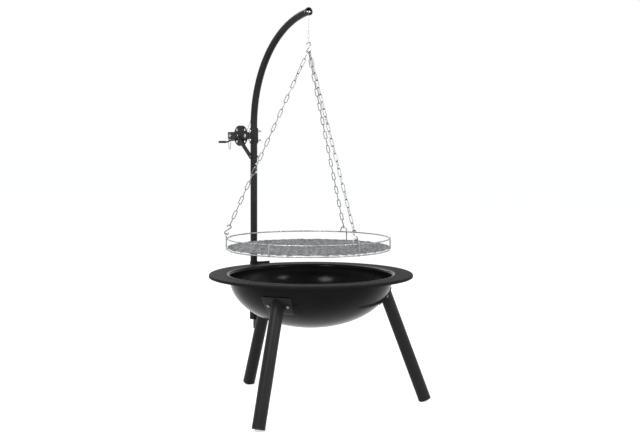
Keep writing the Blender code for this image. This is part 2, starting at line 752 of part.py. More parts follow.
def winch_point(x, y, z):
    """Returns a point given from the reel's centre, with y away from the mast."""
    return Vector((x, REEL_Y + y, REEL_Z + z))


def saddle_bolt_heights():
    return [("saddle_bolt_lower", REEL_Z - SADDLE_BOLT_OFFSET), ("saddle_bolt_upper", REEL_Z + SADDLE_BOLT_OFFSET)]


def build_saddle():
    """The open sleeve on the mast that carries the winch, with its two long bolts."""
    inner = MAST_RADIUS + GAP
    turn = Matrix.Translation((0.0, MAST_Y, REEL_Z)) @ Matrix.Rotation(math.pi / 2 - SADDLE_HALF_ANGLE, 4, "Z")
    line = [(inner, SADDLE_HALF_HEIGHT), (inner, -SADDLE_HALF_HEIGHT)]
    saddle = turned("winch_saddle", line, 16, turn, angle=2 * SADDLE_HALF_ANGLE)
    shell = saddle.modifiers.new("thickness", "SOLIDIFY")
    shell.thickness = SADDLE_THICKNESS
    shell.offset = 1.0
    finish_piece(saddle, "mast_axis", "black_coat")
    for name, z in saddle_bolt_heights():
        cut(saddle, bpy.data.objects[f"hole_{name}"])
        seat_x = MAST_RADIUS + SADDLE_THICKNESS + 2 * GAP
        piece = bolt(name, (-seat_x, MAST_Y, z), (-1, 0, 0), (BOLT_HEAD_RADIUS, BOLT_HEAD_HEIGHT),
                     BOLT_SHANK_RADIUS, 2 * seat_x, SADDLE_NUT_RADIUS, SADDLE_BOLT_TAIL, 10)
        finish_piece(piece, "mast_axis", "zinc")


def build_plates():
    """The two side plates of the winch and the bolts that space them."""
    saddle_space = rod("saddle_space", (0.0, MAST_Y, REEL_Z - SADDLE_HALF_HEIGHT), (0.0, MAST_Y, REEL_Z + SADDLE_HALF_HEIGHT),
                       MAST_RADIUS + SADDLE_THICKNESS + 2 * GAP, 32)
    as_cutter(saddle_space)
    start = MAST_Y + MAST_RADIUS * 0.5 - REEL_Y
    outline = rounded_outline((start, -PLATE_HALF_HEIGHT), (PLATE_OUTER_END, PLATE_HALF_HEIGHT), PLATE_CORNER)
    axle_hole = circle((0.0, 0.0), AXLE_RADIUS + GAP, 16)
    bolt_holes = [circle((y, 0.0), BOLT_SHANK_RADIUS + GAP, 8) for y in (INNER_BOLT_Y, OUTER_BOLT_Y)]
    keeper_hole = circle((KEEPER_Y, KEEPER_Z), KEEPER_HOLE, 10)
    upright = Matrix(((0, 0, 1, 0), (1, 0, 0, 0), (0, 1, 0, 0), (0, 0, 0, 1)))
    for name, side in (("near", -1), ("far", 1)):
        outlines = [outline, axle_hole, *bolt_holes]
        if side < 0:
            outlines.append(keeper_hole)
        middle = side * (PLATE_INSIDE + PLATE_THICKNESS / 2)
        place = Matrix.Translation(winch_point(middle, 0.0, 0.0)) @ upright
        plate = as_mesh(flat_plate(f"winch_plate_{name}", outlines, PLATE_THICKNESS, place))
        finish_piece(plate, "mast_axis", "black_coat")
        cut(plate, saddle_space)
    outside = PLATE_INSIDE + PLATE_THICKNESS + GAP
    for name, y in (("inner", INNER_BOLT_Y), ("outer", OUTER_BOLT_Y)):
        piece = spacer_bolt(f"plate_bolt_{name}", winch_point(-outside, y, 0.0), outside)
        finish_piece(piece, "mast_axis", "zinc")


def spacer_bolt(name, at, outside):
    """Returns a bolt across both side plates, with a spacer barrel between them."""
    barrel = PLATE_BOLT_HEAD - 0.0024
    inner = outside - PLATE_INSIDE + GAP
    far = 2 * outside - inner
    shank = BOLT_SHANK_RADIUS
    profile = [
        (0.0, BOLT_HEAD_HEIGHT), (PLATE_BOLT_HEAD * 0.75, BOLT_HEAD_HEIGHT), (PLATE_BOLT_HEAD, 0.0015),
        (PLATE_BOLT_HEAD, 0.0), (shank, 0.0), (shank, -inner), (barrel, -inner), (barrel, -far),
        (shank, -far), (shank, -2 * outside), (NUT_RADIUS, -2 * outside),
        (NUT_RADIUS, -2 * outside - NUT_HEIGHT), (0.0, -2 * outside - NUT_HEIGHT),
    ]
    return turned(name, profile, 10, aimed(at, (-1, 0, 0)))


def build_brace():
    """The diagonal strip from the near side plate down to the mast, with its bolt."""
    reach = max(PLATE_INSIDE + PLATE_THICKNESS, MAST_RADIUS) + GAP
    x = -(reach + BRACE_THICKNESS / 2)
    top = winch_point(x, *BRACE_TOP)
    foot = Vector((x, MAST_Y, REEL_Z - BRACE_DROP))
    span = (foot - top).length
    outline = rounded_outline((-BRACE_HALF_WIDTH, -BRACE_HALF_WIDTH), (span + BRACE_HALF_WIDTH, BRACE_HALF_WIDTH),
                              BRACE_HALF_WIDTH * 0.95, 3)
    hole = circle((span, 0.0), SCREW_SHANK_RADIUS + GAP, 8)
    along = (foot - top).normalized()
    across = Vector((1, 0, 0)).cross(along)
    place = Matrix.Translation(top) @ Matrix((
        (along.x, across.x, 1, 0), (along.y, across.y, 0, 0), (along.z, across.z, 0, 0), (0, 0, 0, 1)))
    brace = as_mesh(flat_plate("winch_brace", [outline, hole], BRACE_THICKNESS, place))
    finish_piece(brace, "mast_axis", "black_coat")
    hole = rod("hole_brace", (-0.03, MAST_Y, foot.z), (0.02, MAST_Y, foot.z), SCREW_SHANK_RADIUS + GAP, 8)
    cut(bpy.data.objects["mast_arm"], hole)
    head_x = reach + BRACE_THICKNESS + GAP
    piece = bolt("brace_bolt", (-head_x, MAST_Y, foot.z), (-1, 0, 0), (SCREW_HEAD_RADIUS, SCREW_HEAD_HEIGHT),
                 SCREW_SHANK_RADIUS, head_x + MAST_RADIUS + GAP, SCREW_HEAD_RADIUS, 0.0, 8)
    finish_piece(piece, "mast_axis", "zinc")


def build_reel():
    """The cable reel: two flanges on a core, with four holes through each, on its axle."""
    bore = AXLE_RADIUS + GAP
    half, inside = REEL_HALF_WIDTH, REEL_HALF_WIDTH - REEL_FLANGE
    profile = [(bore, half), (REEL_RADIUS, half), (REEL_RADIUS, inside), (REEL_CORE, inside),
               (REEL_CORE, -inside), (REEL_RADIUS, -inside), (REEL_RADIUS, -half), (bore, -half)]
    reel = turned("cable_reel", profile, 24, aimed(winch_point(0, 0, 0), (1, 0, 0)), closed=True)
    finish_piece(reel, "reel_axis", "black_coat")
    for number, angle in enumerate(REEL_HOLE_ANGLES, start=1):
        y = REEL_HOLE_PITCH * math.cos(math.radians(angle))
        z = REEL_HOLE_PITCH * math.sin(math.radians(angle))
        cut(reel, rod(f"reel_hole_{number}", winch_point(-2 * half, y, z), winch_point(2 * half, y, z),
                      REEL_HOLE_RADIUS, 12))
    outside = PLATE_INSIDE + PLATE_THICKNESS
    axle = rod("reel_axle", winch_point(CRANK_PLANE + 2 * CRANK_RADIUS - 0.001, 0, 0),
               winch_point(outside + 0.0025, 0, 0), AXLE_RADIUS, 20)
    finish_piece(axle, "reel_axis", "zinc")


def cable_exit_angle(radius):
    """Returns the angle on the reel at which the cable leaves straight for the mast."""
    entry = cable_entry_point() - winch_point(0, 0, 0)
    flat = Vector((entry.y, entry.z))
    return math.atan2(flat.y, flat.x) + math.acos(radius / flat.length)


def cable_entry_point():
    """Returns where the cable goes through the arm's wall."""
    angle = math.asin((ENTRY_Z - BEND_Z) / ARM_RADIUS)
    return arm_point(angle) + Vector((0.0, MAST_RADIUS, 0.0))


def winding_points(per_turn=24):
    """Returns the cable's turns on the reel as one unbroken path."""
    radius = WINDING_RADIUS
    last = cable_exit_angle(radius)
    points = []
    for i in range(WINDING_TURNS * per_turn + 1):
        turn = i / per_turn
        across = WINDING_PITCH * (turn - WINDING_TURNS / 2)
        angle = last + (WINDING_TURNS - turn) * math.tau
        points.append(winch_point(across, radius * math.cos(angle), radius * math.sin(angle)))
    return points


def outer_turn_points(steps=22):
    """Returns the cable's last turn, which lies over the others and ends where the cable leaves the reel."""
    last = cable_exit_angle(OUTER_TURN_RADIUS)
    points = []
    for i in range(steps + 1):
        share = i / steps
        angle = last + OUTER_TURN * (1.0 - share)
        points.append(winch_point(WINDING_PITCH * (share - 0.5), OUTER_TURN_RADIUS * math.cos(angle),
                                  OUTER_TURN_RADIUS * math.sin(angle)))
    return points


def least_gap(points, radius, per_turn):
    """Returns the least gap between turns of a wound tube, measured on its points."""
    least = math.inf
    for i, first in enumerate(points):
        for second in points[i + per_turn // 2:]:
            least = min(least, (first - second).length)
    return least - 2 * radius


def build_cable():
    """The cable's inner turns on the reel, and its last turn with its run through the arm to the roller."""
    turns = winding_points()
    print(f"cable turns: least gap {least_gap(turns, CABLE_RADIUS, 24) * 1000:.2f} mm")
    winding = wire("cable_winding", turns, CABLE_RADIUS, 6)
    finish_piece(winding, "reel_axis", "steel_cable")
    route = outer_turn_points()
    leave = route[-1]
    entry = cable_entry_point()
    direction = (entry - leave).normalized()
    inside = arm_point(math.asin((ENTRY_Z - BEND_Z) / ARM_RADIUS) + 0.035)
    route += [leave + direction * 0.004, entry - direction * 0.004, inside]
    steps = 10
    first = math.asin((ENTRY_Z - BEND_Z) / ARM_RADIUS) + 0.09
    final = arm_angle(ROLLER_Y + 0.035)
    route += [arm_point(first + (final - first) * i / steps) for i in range(steps + 1)]
    over = ROLLER_GROOVE + CABLE_RADIUS + GAP
    route += [
        Vector((0.0, ROLLER_Y - over * math.cos(a), ROLLER_Z + over * math.sin(a)))
        for a in (math.radians(d) for d in (108, 85, 60, 35, 12, 0))
    ]
    finish_piece(wire("cable_run", route, CABLE_RADIUS, 6), "mast_axis", "steel_cable")


def build_crank():
    """The bent crank rod on the axle's near end, and the grip on its handle."""
    end = CRANK_PLANE + 2 * CRANK_RADIUS - 0.001
    reach, drop = CRANK_REACH, -CRANK_DROP
    corner = CRANK_RADIUS
    path = [
        (end - GAP, 0.0, 0.0), (CRANK_PLANE + 0.001, 0.0, 0.0), (CRANK_PLANE, reach * 0.02, drop * 0.1),
        (CRANK_PLANE, reach * 0.05, drop * 0.5), (CRANK_PLANE, reach * 0.13, drop * 0.66),
        (CRANK_PLANE, reach * 0.22, drop * 0.70), (CRANK_PLANE, reach * 0.72, drop * 0.76),
        (CRANK_PLANE, reach * 0.90, drop * 0.90), (CRANK_PLANE - corner * 0.5, reach * 0.98, drop),
        (CRANK_PLANE - 2 * corner, reach, drop), (CRANK_PLANE - 2 * corner - CRANK_HANDLE, reach, drop),
    ]
    finish_piece(wire("crank_rod", [winch_point(*p) for p in path], CRANK_RADIUS, 10),
                 "reel_axis", "black_coat")
    near = CRANK_PLANE - 2 * corner - GRIP_INSET
    far = CRANK_PLANE - 2 * corner - CRANK_HANDLE
    bore = CRANK_RADIUS + GAP
    length = near - far + CRANK_RADIUS
    profile = [(0.0, length), (GRIP_RADIUS - 0.001, length), (GRIP_RADIUS, length - 0.001), (GRIP_RADIUS, 0.0),
               (bore, 0.0), (bore, near - far + GAP), (0.0, near - far + GAP)]
    grip = turned("crank_grip", profile, 14, aimed(winch_point(near, reach, drop), (-1, 0, 0)))
    finish_piece(grip, "reel_axis", "black_plastic")


def build_keeper():
    """The wire loop that hangs from the near plate and hooks over the crank."""
    plate_middle = -(PLATE_INSIDE + PLATE_THICKNESS / 2)
    top = KEEPER_Z - KEEPER_HOLE + KEEPER_WIRE + GAP
    half, length = KEEPER_HALF_WIDTH, KEEPER_LENGTH
    outline = [(-half, 0.0), (0.0, 0.0), (half, 0.0), (half + 0.0008, -0.0025), (half, -0.4 * length),
               (half * 0.55, -0.92 * length), (0.0, -length), (-half * 0.55, -0.92 * length),
               (-half, -0.4 * length), (-half - 0.0008, -0.0025)]
    points = [winch_point(plate_middle + x, KEEPER_Y, top + z) for x, z in outline]
    finish_piece(wire("crank_keeper", points, KEEPER_WIRE, 6, cyclic=True), "keeper_axis", "zinc")


# Hanging parts


def plane_vector(azimuth):
    return Vector((math.cos(azimuth), math.sin(azimuth), 0.0))


def s_hook_points(top, along, across, height, bend):
    """Returns an S hook's centreline: two bends joined by a slanting shank."""
    upper = top + along * bend
    lower = top + along * (height - bend)
    points = []
    for i in range(6):
        angle = math.radians(200 - 225 * i / 5)
        points.append(upper + across * (bend * math.cos(angle)) - along * (bend * math.sin(angle)))
    for i in range(6):
        angle = math.radians(155 + 225 * i / 5)
        points.append(lower + across * (bend * math.cos(angle)) - along * (bend * math.sin(angle)))
    return points


def eye_bottom():
    return HOOK_TOP_Z - HOOK_WIRE - CABLE_RADIUS - GAP


def build_hanger():
    """The cable's free drop and the crimped eye at its end."""
    x_y = (0.0, CABLE_Y)
    bottom = eye_bottom()
    ferrule_low = bottom + EYE_LENGTH
    ferrule_top = ferrule_low + FERRULE_LENGTH
    drop = rod("cable_drop", (*x_y, ferrule_top + GAP), (*x_y, ROLLER_Z - GAP), CABLE_RADIUS, 8)
    finish_piece(drop, "hanger_axis", "steel_cable")
    across = plane_vector(HOOK_PLANE + math.pi / 2)
    half = EYE_WIDTH / 2
    middle = Vector((*x_y, bottom + half))
    neck = Vector((*x_y, ferrule_low))
    side = across * (CABLE_RADIUS * 1.15)
    loop = [neck - side + Vector((0, 0, 0.004)), neck - side]
    loop += [middle + across * (half * math.cos(a)) + Vector((0, 0, half * math.sin(a)))
             for a in (math.radians(d) for d in (180, 210, 240, 270, 300, 330, 360))]
    loop += [neck + side, neck + side + Vector((0, 0, 0.004))]
    eye = as_mesh(wire("eye_loop", loop, CABLE_RADIUS, 8))
    ferrule = rod("cable_eye", (*x_y, ferrule_low), (*x_y, ferrule_top), FERRULE_RADIUS, 14)
    finish_piece(ferrule, "hanger_axis", "zinc")
    join(ferrule, eye)


def build_top_hook():
    """The S hook between the cable's eye and the three chains."""
    points = s_hook_points(Vector((0.0, CABLE_Y, HOOK_TOP_Z)), Vector((0, 0, -1)),
                           plane_vector(HOOK_PLANE), HOOK_HEIGHT, HOOK_BEND)
    finish_piece(wire("top_hook", points, HOOK_WIRE, 6), "swing_axis", "zinc")


def chain_seat(name):
    """Returns where a chain's first link hangs in the hook, and the hook wire's direction."""
    across, up = plane_vector(HOOK_PLANE), Vector((0, 0, 1))
    centre = Vector((0.0, CABLE_Y, HOOK_TOP_Z - HOOK_HEIGHT + HOOK_BEND))
    angle = math.radians(CHAIN_SEATS[name])
    out = HOOK_BEND - HOOK_WIRE - CHAIN_WIRE - GAP
    point = centre + across * (out * math.cos(angle)) + up * (out * math.sin(angle))
    return point, across * -math.sin(angle) + up * math.cos(angle)


def chain_frame(name):
    """Returns a chain's two ends, its direction, and the sideways direction of its post."""
    azimuth = math.radians(CHAIN_AZIMUTHS[name])
    start, tangent = chain_seat(name)
    post = ring_azimuth(POST_RADIUS, CHAIN_AZIMUTHS[name], POST_TOP_Z, CABLE_Y)
    along = (post - start).normalized()
    sideways = Vector((-math.sin(azimuth), math.cos(azimuth), 0.0))
    hook_end = post + along * (GRATE_WIRE + HOOK_WIRE + GAP)
    hook_top = hook_end - along * LOWER_HOOK_HEIGHT
    chain_end = hook_top + along * (HOOK_WIRE + CHAIN_WIRE + GAP)
    return start, chain_end, hook_top, along, sideways, tangent


def link_points(centre, along, across, length):
    """Returns the centreline of one long link, with plain corners."""
    reach, half = length / 2, CHAIN_WIDTH / 2 - CHAIN_WIRE
    return [centre + along * reach * i + across * half * j for i, j in ((1, -1), (1, 1), (-1, 1), (-1, -1))]


def joined_links(name, links):
    """Returns one mesh object that holds several links."""
    shape = bmesh.new()
    for number, points in enumerate(links):
        held = as_mesh(wire(f"{name}_{number}", points, CHAIN_WIRE, 4, cyclic=True))
        shape.from_mesh(held.data)
        bpy.data.objects.remove(held, do_unlink=True)
    mesh = bpy.data.meshes.new(name)
    shape.to_mesh(mesh)
    shape.free()
    return bpy.data.objects.new(name, mesh)


def build_chains():
    """Three chains of long-oval links; each link's end bites a little into the next."""
    for name in CHAIN_AZIMUTHS:
        start, end, hook_top, along, sideways, tangent = chain_frame(name)
        span = (end - start).length
        pitch = (span - 2 * CHAIN_WIRE + CHAIN_BITE) / CHAIN_LINKS
        length = pitch + 2 * CHAIN_WIRE - CHAIN_BITE
        first_across = along.cross(tangent).normalized()
        other = along.cross(first_across)
        wanted = math.atan2(sideways.dot(other), sideways.dot(first_across))
        quarter = math.pi / 2
        spare = (wanted - (CHAIN_LINKS - 1) * quarter) % math.pi
        spare = spare - math.pi if spare > quarter else spare
        links = []
        for number in range(CHAIN_LINKS):
            angle = number * quarter + spare * number / (CHAIN_LINKS - 1)
            across = first_across * math.cos(angle) + other * math.sin(angle)
            centre = start + along * (length / 2 + pitch * number)
            links.append(link_points(centre, along, across, length))
        chain = joined_links(f"chain_{name}", links[0::2])
        finish_piece(chain, "swing_axis", "zinc")
        join(chain, joined_links(f"chain_{name}_between", links[1::2]))
        across = sideways.cross(along)
        hook = wire(f"chain_hook_{name}",
                    s_hook_points(hook_top, along, across, LOWER_HOOK_HEIGHT, LOWER_HOOK_BEND), HOOK_WIRE, 6)
        finish_piece(hook, "swing_axis", "zinc")


def ring_points(radius, z, count):
    """Returns a ring's points, with the middle of a flat at each upright and post."""
    start = UPRIGHT_AZIMUTHS[0] + 180 / count
    return [ring_azimuth(radius, start + 360 * i / count, z, CABLE_Y) for i in range(count)]


def build_rings():
    """The grate's two wire rings; the upper one carries the plain uprights."""
    lower = wire("grate_ring_lower", ring_points(GRATE_RADIUS, LOWER_RING_Z, RING_STEPS), GRATE_WIRE, 6, cyclic=True)
    finish_piece(lower, "swing_axis", "zinc")
    upper = as_mesh(wire("grate_ring_upper", ring_points(GRATE_RADIUS, UPPER_RING_Z, RING_STEPS), GRATE_WIRE, 6,
                         cyclic=True))
    finish_piece(upper, "swing_axis", "zinc")
    for number, azimuth in enumerate(UPRIGHT_AZIMUTHS, start=1):
        low = ring_azimuth(POST_RADIUS, azimuth, LOWER_RING_Z - GRATE_WIRE, CABLE_Y)
        high = ring_azimuth(POST_RADIUS, azimuth, UPPER_RING_Z + GRATE_WIRE, CABLE_Y)
        inside = ring_azimuth(RING_FLAT, azimuth, UPPER_RING_Z, CABLE_Y)
        outside = ring_azimuth(POST_RADIUS + GRATE_WIRE / 2, azimuth, UPPER_RING_Z, CABLE_Y)
        join(upper, rod(f"upright_{number}", low, high, GRATE_WIRE, 8),
             rod(f"weld_{number}", inside, outside, GRATE_WIRE * 0.6, 6))


def build_posts():
    """The inverted-U posts that take the chain hooks, one leg on each ring."""
    for name, azimuth in CHAIN_AZIMUTHS.items():
        base = ring_azimuth(POST_RADIUS, azimuth, 0.0, CABLE_Y)
        around = math.radians(azimuth)
        side = Vector((-math.sin(around), math.cos(around), 0.0)) * POST_SHORT_SIDES[name]
        half = POST_HALF_WIDTH
        shoulder = POST_TOP_Z - half
        path = [base + side * half + Vector((0, 0, UPPER_RING_Z - GRATE_WIRE))]
        for degrees in (0, 30, 60, 90, 120, 150, 180):
            angle = math.radians(degrees)
            path.append(base + side * (half * math.cos(angle))
                        + Vector((0, 0, shoulder + half * math.sin(angle))))
        path.append(base - side * half + Vector((0, 0, LOWER_RING_Z - GRATE_WIRE)))
        finish_piece(wire(f"hook_post_{name}", path, GRATE_WIRE, 8), "swing_axis", "zinc")


def build_grate_mesh():
    """The expanded-metal cooking surface, with staggered diamond openings."""
    radius = GRATE_RADIUS
    outlines = [circle((0.0, 0.0), radius, 48)]
    half_long = MESH_LONG_WAY / 2 - MESH_STRAND * 1.1
    half_short = MESH_SHORT_WAY / 2 - MESH_STRAND * 0.55
    rows = int(2 * radius / MESH_SHORT_WAY) + 2
    columns = int(radius / MESH_LONG_WAY) + 2
    for row in range(-rows, rows + 1):
        shift = 0.5 * MESH_LONG_WAY if row % 2 else 0.0
        for column in range(-columns, columns + 1):
            x, y = column * MESH_LONG_WAY + shift, row * MESH_SHORT_WAY / 2
            corners = [(x + half_long, y), (x, y + half_short), (x - half_long, y), (x, y - half_short)]
            if max(math.hypot(*corner) for corner in corners) < radius - MESH_EDGE:
                outlines.append(corners)
    z = LOWER_RING_Z + GRATE_WIRE * math.cos(math.radians(30)) + GAP + MESH_THICKNESS / 2
    place = Matrix.Translation((0.0, CABLE_Y, z)) @ Matrix.Rotation(HOOK_PLANE, 4, "Z")
    print(f"grate mesh: {len(outlines) - 1} openings")
    finish_piece(flat_plate("grate_mesh", outlines, MESH_THICKNESS, place), "swing_axis", "grate_steel")


def build_pivots():
    """The empties on the joints' axes."""
    pivot("fire_pit", (0.0, 0.0, 0.0))
    pivot("mast_axis", (0.0, MAST_Y, 0.0), "fire_pit")
    pivot("reel_axis", winch_point(0, 0, 0), "mast_axis")
    keeper_z = KEEPER_Z - KEEPER_HOLE + KEEPER_WIRE + GAP
    pivot("keeper_axis", winch_point(-(PLATE_INSIDE + PLATE_THICKNESS / 2), KEEPER_Y, keeper_z), "mast_axis")
    pivot("roller_axis", (0.0, ROLLER_Y, ROLLER_Z), "mast_axis")
    pivot("hanger_axis", (0.0, CABLE_Y, HOOK_TOP_Z), "mast_axis")
    pivot("swing_axis", (0.0, CABLE_Y, HOOK_TOP_Z), "hanger_axis")


def main():
    build_pivots()
    build_bowl()
    build_flanges()
    build_leg_bolts()
    build_legs()
    build_socket()
    build_strap()
    build_mast()
    build_roller()
    build_saddle()
    build_plates()
    build_brace()
    build_reel()
    build_cable()
    build_crank()
    build_keeper()
    build_hanger()
    build_top_hook()
    build_chains()
    build_rings()
    build_posts()
    build_grate_mesh()
    PIVOTS["fire_pit"][0].location = (0.0, -CENTRE_Y, 0.0)


main()
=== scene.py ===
"""Dresses the fire pit with its winch-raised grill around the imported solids.

Every piece is worked out around the bowl's axis, in metres, and then moved to the
solids' own place, so that one set of sizes serves the whole object.
"""

import json
import logging
import math
import random
from dataclasses import dataclass
from enum import Enum
from itertools import pairwise

import bpy
from mathutils import Matrix, Vector


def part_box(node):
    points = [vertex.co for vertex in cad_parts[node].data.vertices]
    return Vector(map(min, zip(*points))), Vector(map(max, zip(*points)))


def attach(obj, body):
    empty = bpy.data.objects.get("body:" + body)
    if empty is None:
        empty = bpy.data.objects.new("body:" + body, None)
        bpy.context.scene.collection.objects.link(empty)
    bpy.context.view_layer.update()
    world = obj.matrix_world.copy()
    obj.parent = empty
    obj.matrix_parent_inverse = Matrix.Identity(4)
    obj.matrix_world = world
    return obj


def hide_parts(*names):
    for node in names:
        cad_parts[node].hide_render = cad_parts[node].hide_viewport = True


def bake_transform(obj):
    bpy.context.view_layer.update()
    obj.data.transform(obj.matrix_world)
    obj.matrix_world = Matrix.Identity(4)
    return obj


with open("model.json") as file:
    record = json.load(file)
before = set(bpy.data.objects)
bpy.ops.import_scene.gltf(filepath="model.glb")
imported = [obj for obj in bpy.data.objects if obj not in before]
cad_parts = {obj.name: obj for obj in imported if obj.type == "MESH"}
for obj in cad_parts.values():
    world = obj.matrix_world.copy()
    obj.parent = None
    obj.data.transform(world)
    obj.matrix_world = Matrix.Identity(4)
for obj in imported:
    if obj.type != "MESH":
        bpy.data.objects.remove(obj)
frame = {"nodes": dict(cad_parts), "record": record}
LOW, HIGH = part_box("fire_bowl")
ORIGIN = Matrix.Translation((0.0, (LOW.y + HIGH.y) / 2, 0.0))
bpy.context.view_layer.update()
LOG = logging.getLogger("fire_pit")

Profile = list[tuple[float, float]]
GAP = 0.0003
MERGE = 0.000002
PLATE_CORNER = 0.0045
UP = Vector((0.0, 0.0, 1.0))
LEG_AZIMUTHS = {"rear": 90.0, "left": 210.0, "right": 330.0}
CHAIN_AZIMUTHS = {"left": 147.5, "rear": 27.5, "front": 267.5}
UPRIGHT_AZIMUTHS = (207.5, 327.5)


# Finishes


class Pattern(Enum):
    """The fine texture that a surface shows."""

    ORANGE_PEEL = "orange peel"
    PLATED = "plated"
    SPANGLE = "spangle"
    GRAIN = "grain"
    TURNED = "turned"


@dataclass(frozen=True)
class Finish:
    """One surface finish, and the node tree that gives it.

    `cell` is the size of one cell of the pattern, in metres, and `relief` is its depth.
    """

    name: str
    slot: str
    dark: tuple[float, float, float]
    light: tuple[float, float, float]
    rough: tuple[float, float]
    metallic: float
    pattern: Pattern
    cell: float
    relief: float
    patch: float = 0.05
    specular: float = 0.5

    def material(self) -> bpy.types.Material:
        """Returns the finish's material, made once.

        Returns:
            The Principled material with its pattern on Object coordinates.
        """
        found = bpy.data.materials.get(self.name)
        if found:
            return found
        made = bpy.data.materials.new(self.name)
        made.use_nodes = True
        tree = made.node_tree
        shader = tree.nodes["Principled BSDF"]
        shader.inputs["Metallic"].default_value = self.metallic
        shader.inputs["Specular IOR Level"].default_value = self.specular
        place = tree.nodes.new("ShaderNodeTexCoord").outputs["Object"]
        patches = self._noise(tree, place, self.patch, 4.0)
        fine = self._fine(tree, place)
        mixed = tree.nodes.new("ShaderNodeMath")
        mixed.operation = "MULTIPLY_ADD"
        tree.links.new(fine, mixed.inputs[0])
        mixed.inputs[1].default_value = 0.45
        tree.links.new(self._scaled(tree, patches, 0.0, 0.55), mixed.inputs[2])
        ramp = tree.nodes.new("ShaderNodeValToRGB")
        ramp.color_ramp.elements[0].color = (*self.dark, 1.0)
        ramp.color_ramp.elements[0].position = 0.25
        ramp.color_ramp.elements[1].color = (*self.light, 1.0)
        ramp.color_ramp.elements[1].position = 0.75
        tree.links.new(mixed.outputs[0], ramp.inputs[0])
        tree.links.new(ramp.outputs[0], shader.inputs["Base Color"])
        tree.links.new(self._scaled(tree, mixed.outputs[0], *self.rough), shader.inputs["Roughness"])
        bump = tree.nodes.new("ShaderNodeBump")
        bump.inputs["Strength"].default_value = 1.0
        bump.inputs["Distance"].default_value = self.relief
        tree.links.new(fine, bump.inputs["Height"])
        tree.links.new(bump.outputs[0], shader.inputs["Normal"])
        made.diffuse_color = (*self.light, 1.0)
        return made

    def _fine(self, tree: bpy.types.NodeTree, place: bpy.types.NodeSocket) -> bpy.types.NodeSocket:
        """Returns the fine pattern's height, from 0 to 1.

        Args:
            tree: The material's node tree.
            place: The coordinates that the pattern lies on.

        Returns:
            The fine pattern's height, from 0 to 1.
        """
        if self.pattern is Pattern.SPANGLE:
            cells = tree.nodes.new("ShaderNodeTexVoronoi")
            cells.inputs["Scale"].default_value = 1.0 / self.cell
            tree.links.new(self._warped(tree, place, self.cell * 0.35), cells.inputs["Vector"])
            split = tree.nodes.new("ShaderNodeSeparateColor")
            tree.links.new(cells.outputs["Color"], split.inputs[0])
            return split.outputs[0]
        if self.pattern is Pattern.GRAIN:
            cells = tree.nodes.new("ShaderNodeTexVoronoi")
            cells.feature = "SMOOTH_F1"
            cells.inputs["Scale"].default_value = 1.0 / self.cell
            tree.links.new(place, cells.inputs["Vector"])
            return cells.outputs["Distance"]
        if self.pattern is Pattern.TURNED:
            stretch = tree.nodes.new("ShaderNodeMapping")
            stretch.inputs["Scale"].default_value = (12.0, 1.0, 1.0)
            tree.links.new(place, stretch.inputs["Vector"])
            return self._noise(tree, stretch.outputs[0], self.cell, 3.0)
        return self._noise(tree, place, self.cell, 2.0 if self.pattern is Pattern.ORANGE_PEEL else 5.0)

    @staticmethod
    def _noise(tree: bpy.types.NodeTree, place: bpy.types.NodeSocket, cell: float,
               detail: float) -> bpy.types.NodeSocket:
        """Returns soft noise whose lumps have a size in metres.

        Args:
            tree: The material's node tree.
            place: The coordinates.
            cell: The size of a lump.
            detail: How many finer layers it has.

        Returns:
            Soft noise whose lumps have a size in metres.
        """
        noise = tree.nodes.new("ShaderNodeTexNoise")
        noise.inputs["Scale"].default_value = 1.0 / cell
        noise.inputs["Detail"].default_value = detail
        tree.links.new(place, noise.inputs["Vector"])
        return noise.outputs["Fac"]

    @staticmethod
    def _warped(tree: bpy.types.NodeTree, place: bpy.types.NodeSocket, amount: float) -> bpy.types.NodeSocket:
        """Returns coordinates pushed about by noise, so that cells have crooked edges.

        Args:
            tree: The material's node tree.
            place: The coordinates.
            amount: How far they are pushed.

        Returns:
            Coordinates pushed about by noise, so that cells have crooked edges.
        """
        noise = tree.nodes.new("ShaderNodeTexNoise")
        noise.inputs["Scale"].default_value = 0.6 / amount
        tree.links.new(place, noise.inputs["Vector"])
        push = tree.nodes.new("ShaderNodeVectorMath")
        push.operation = "MULTIPLY_ADD"
        tree.links.new(noise.outputs["Color"], push.inputs[0])
        push.inputs[1].default_value = (amount,) * 3
        tree.links.new(place, push.inputs[2])
        return push.outputs[0]

    @staticmethod
    def _scaled(tree: bpy.types.NodeTree, value: bpy.types.NodeSocket, low: float,
                high: float) -> bpy.types.NodeSocket:
        """Returns a value from 0 to 1 spread over another range.

        Args:
            tree: The material's node tree.
            value: The value from 0 to 1.
            low: What 0 becomes.
            high: What 1 becomes.

        Returns:
            A value from 0 to 1 spread over another range.
        """
        spread = tree.nodes.new("ShaderNodeMapRange")
        spread.inputs["To Min"].default_value = low
        spread.inputs["To Max"].default_value = high
        tree.links.new(value, spread.inputs["Value"])
        return spread.outputs[0]


BLACK_COAT = Finish("black_powder_coat", "black_coat", (0.004, 0.004, 0.0045), (0.011, 0.011, 0.0115),
                    (0.34, 0.48), 0.0, Pattern.ORANGE_PEEL, 0.0012, 0.00006, specular=0.16)
BOWL_COAT = Finish("bowl_heat_coat", "bowl_coat", (0.003, 0.003, 0.0035), (0.008, 0.008, 0.0085),
                   (0.17, 0.23), 0.0, Pattern.ORANGE_PEEL, 0.0016, 0.00003, patch=0.09, specular=0.06)
RIM_COAT = Finish("rim_heat_coat", "bowl_coat", (0.003, 0.003, 0.0035), (0.008, 0.008, 0.0085),
                  (0.55, 0.68), 0.0, Pattern.ORANGE_PEEL, 0.0016, 0.00005, patch=0.09, specular=0.05)
PLASTIC = Finish("black_moulding", "black_plastic", (0.006, 0.006, 0.006), (0.014, 0.014, 0.014),
                 (0.48, 0.62), 0.0, Pattern.GRAIN, 0.0007, 0.00008, specular=0.2)
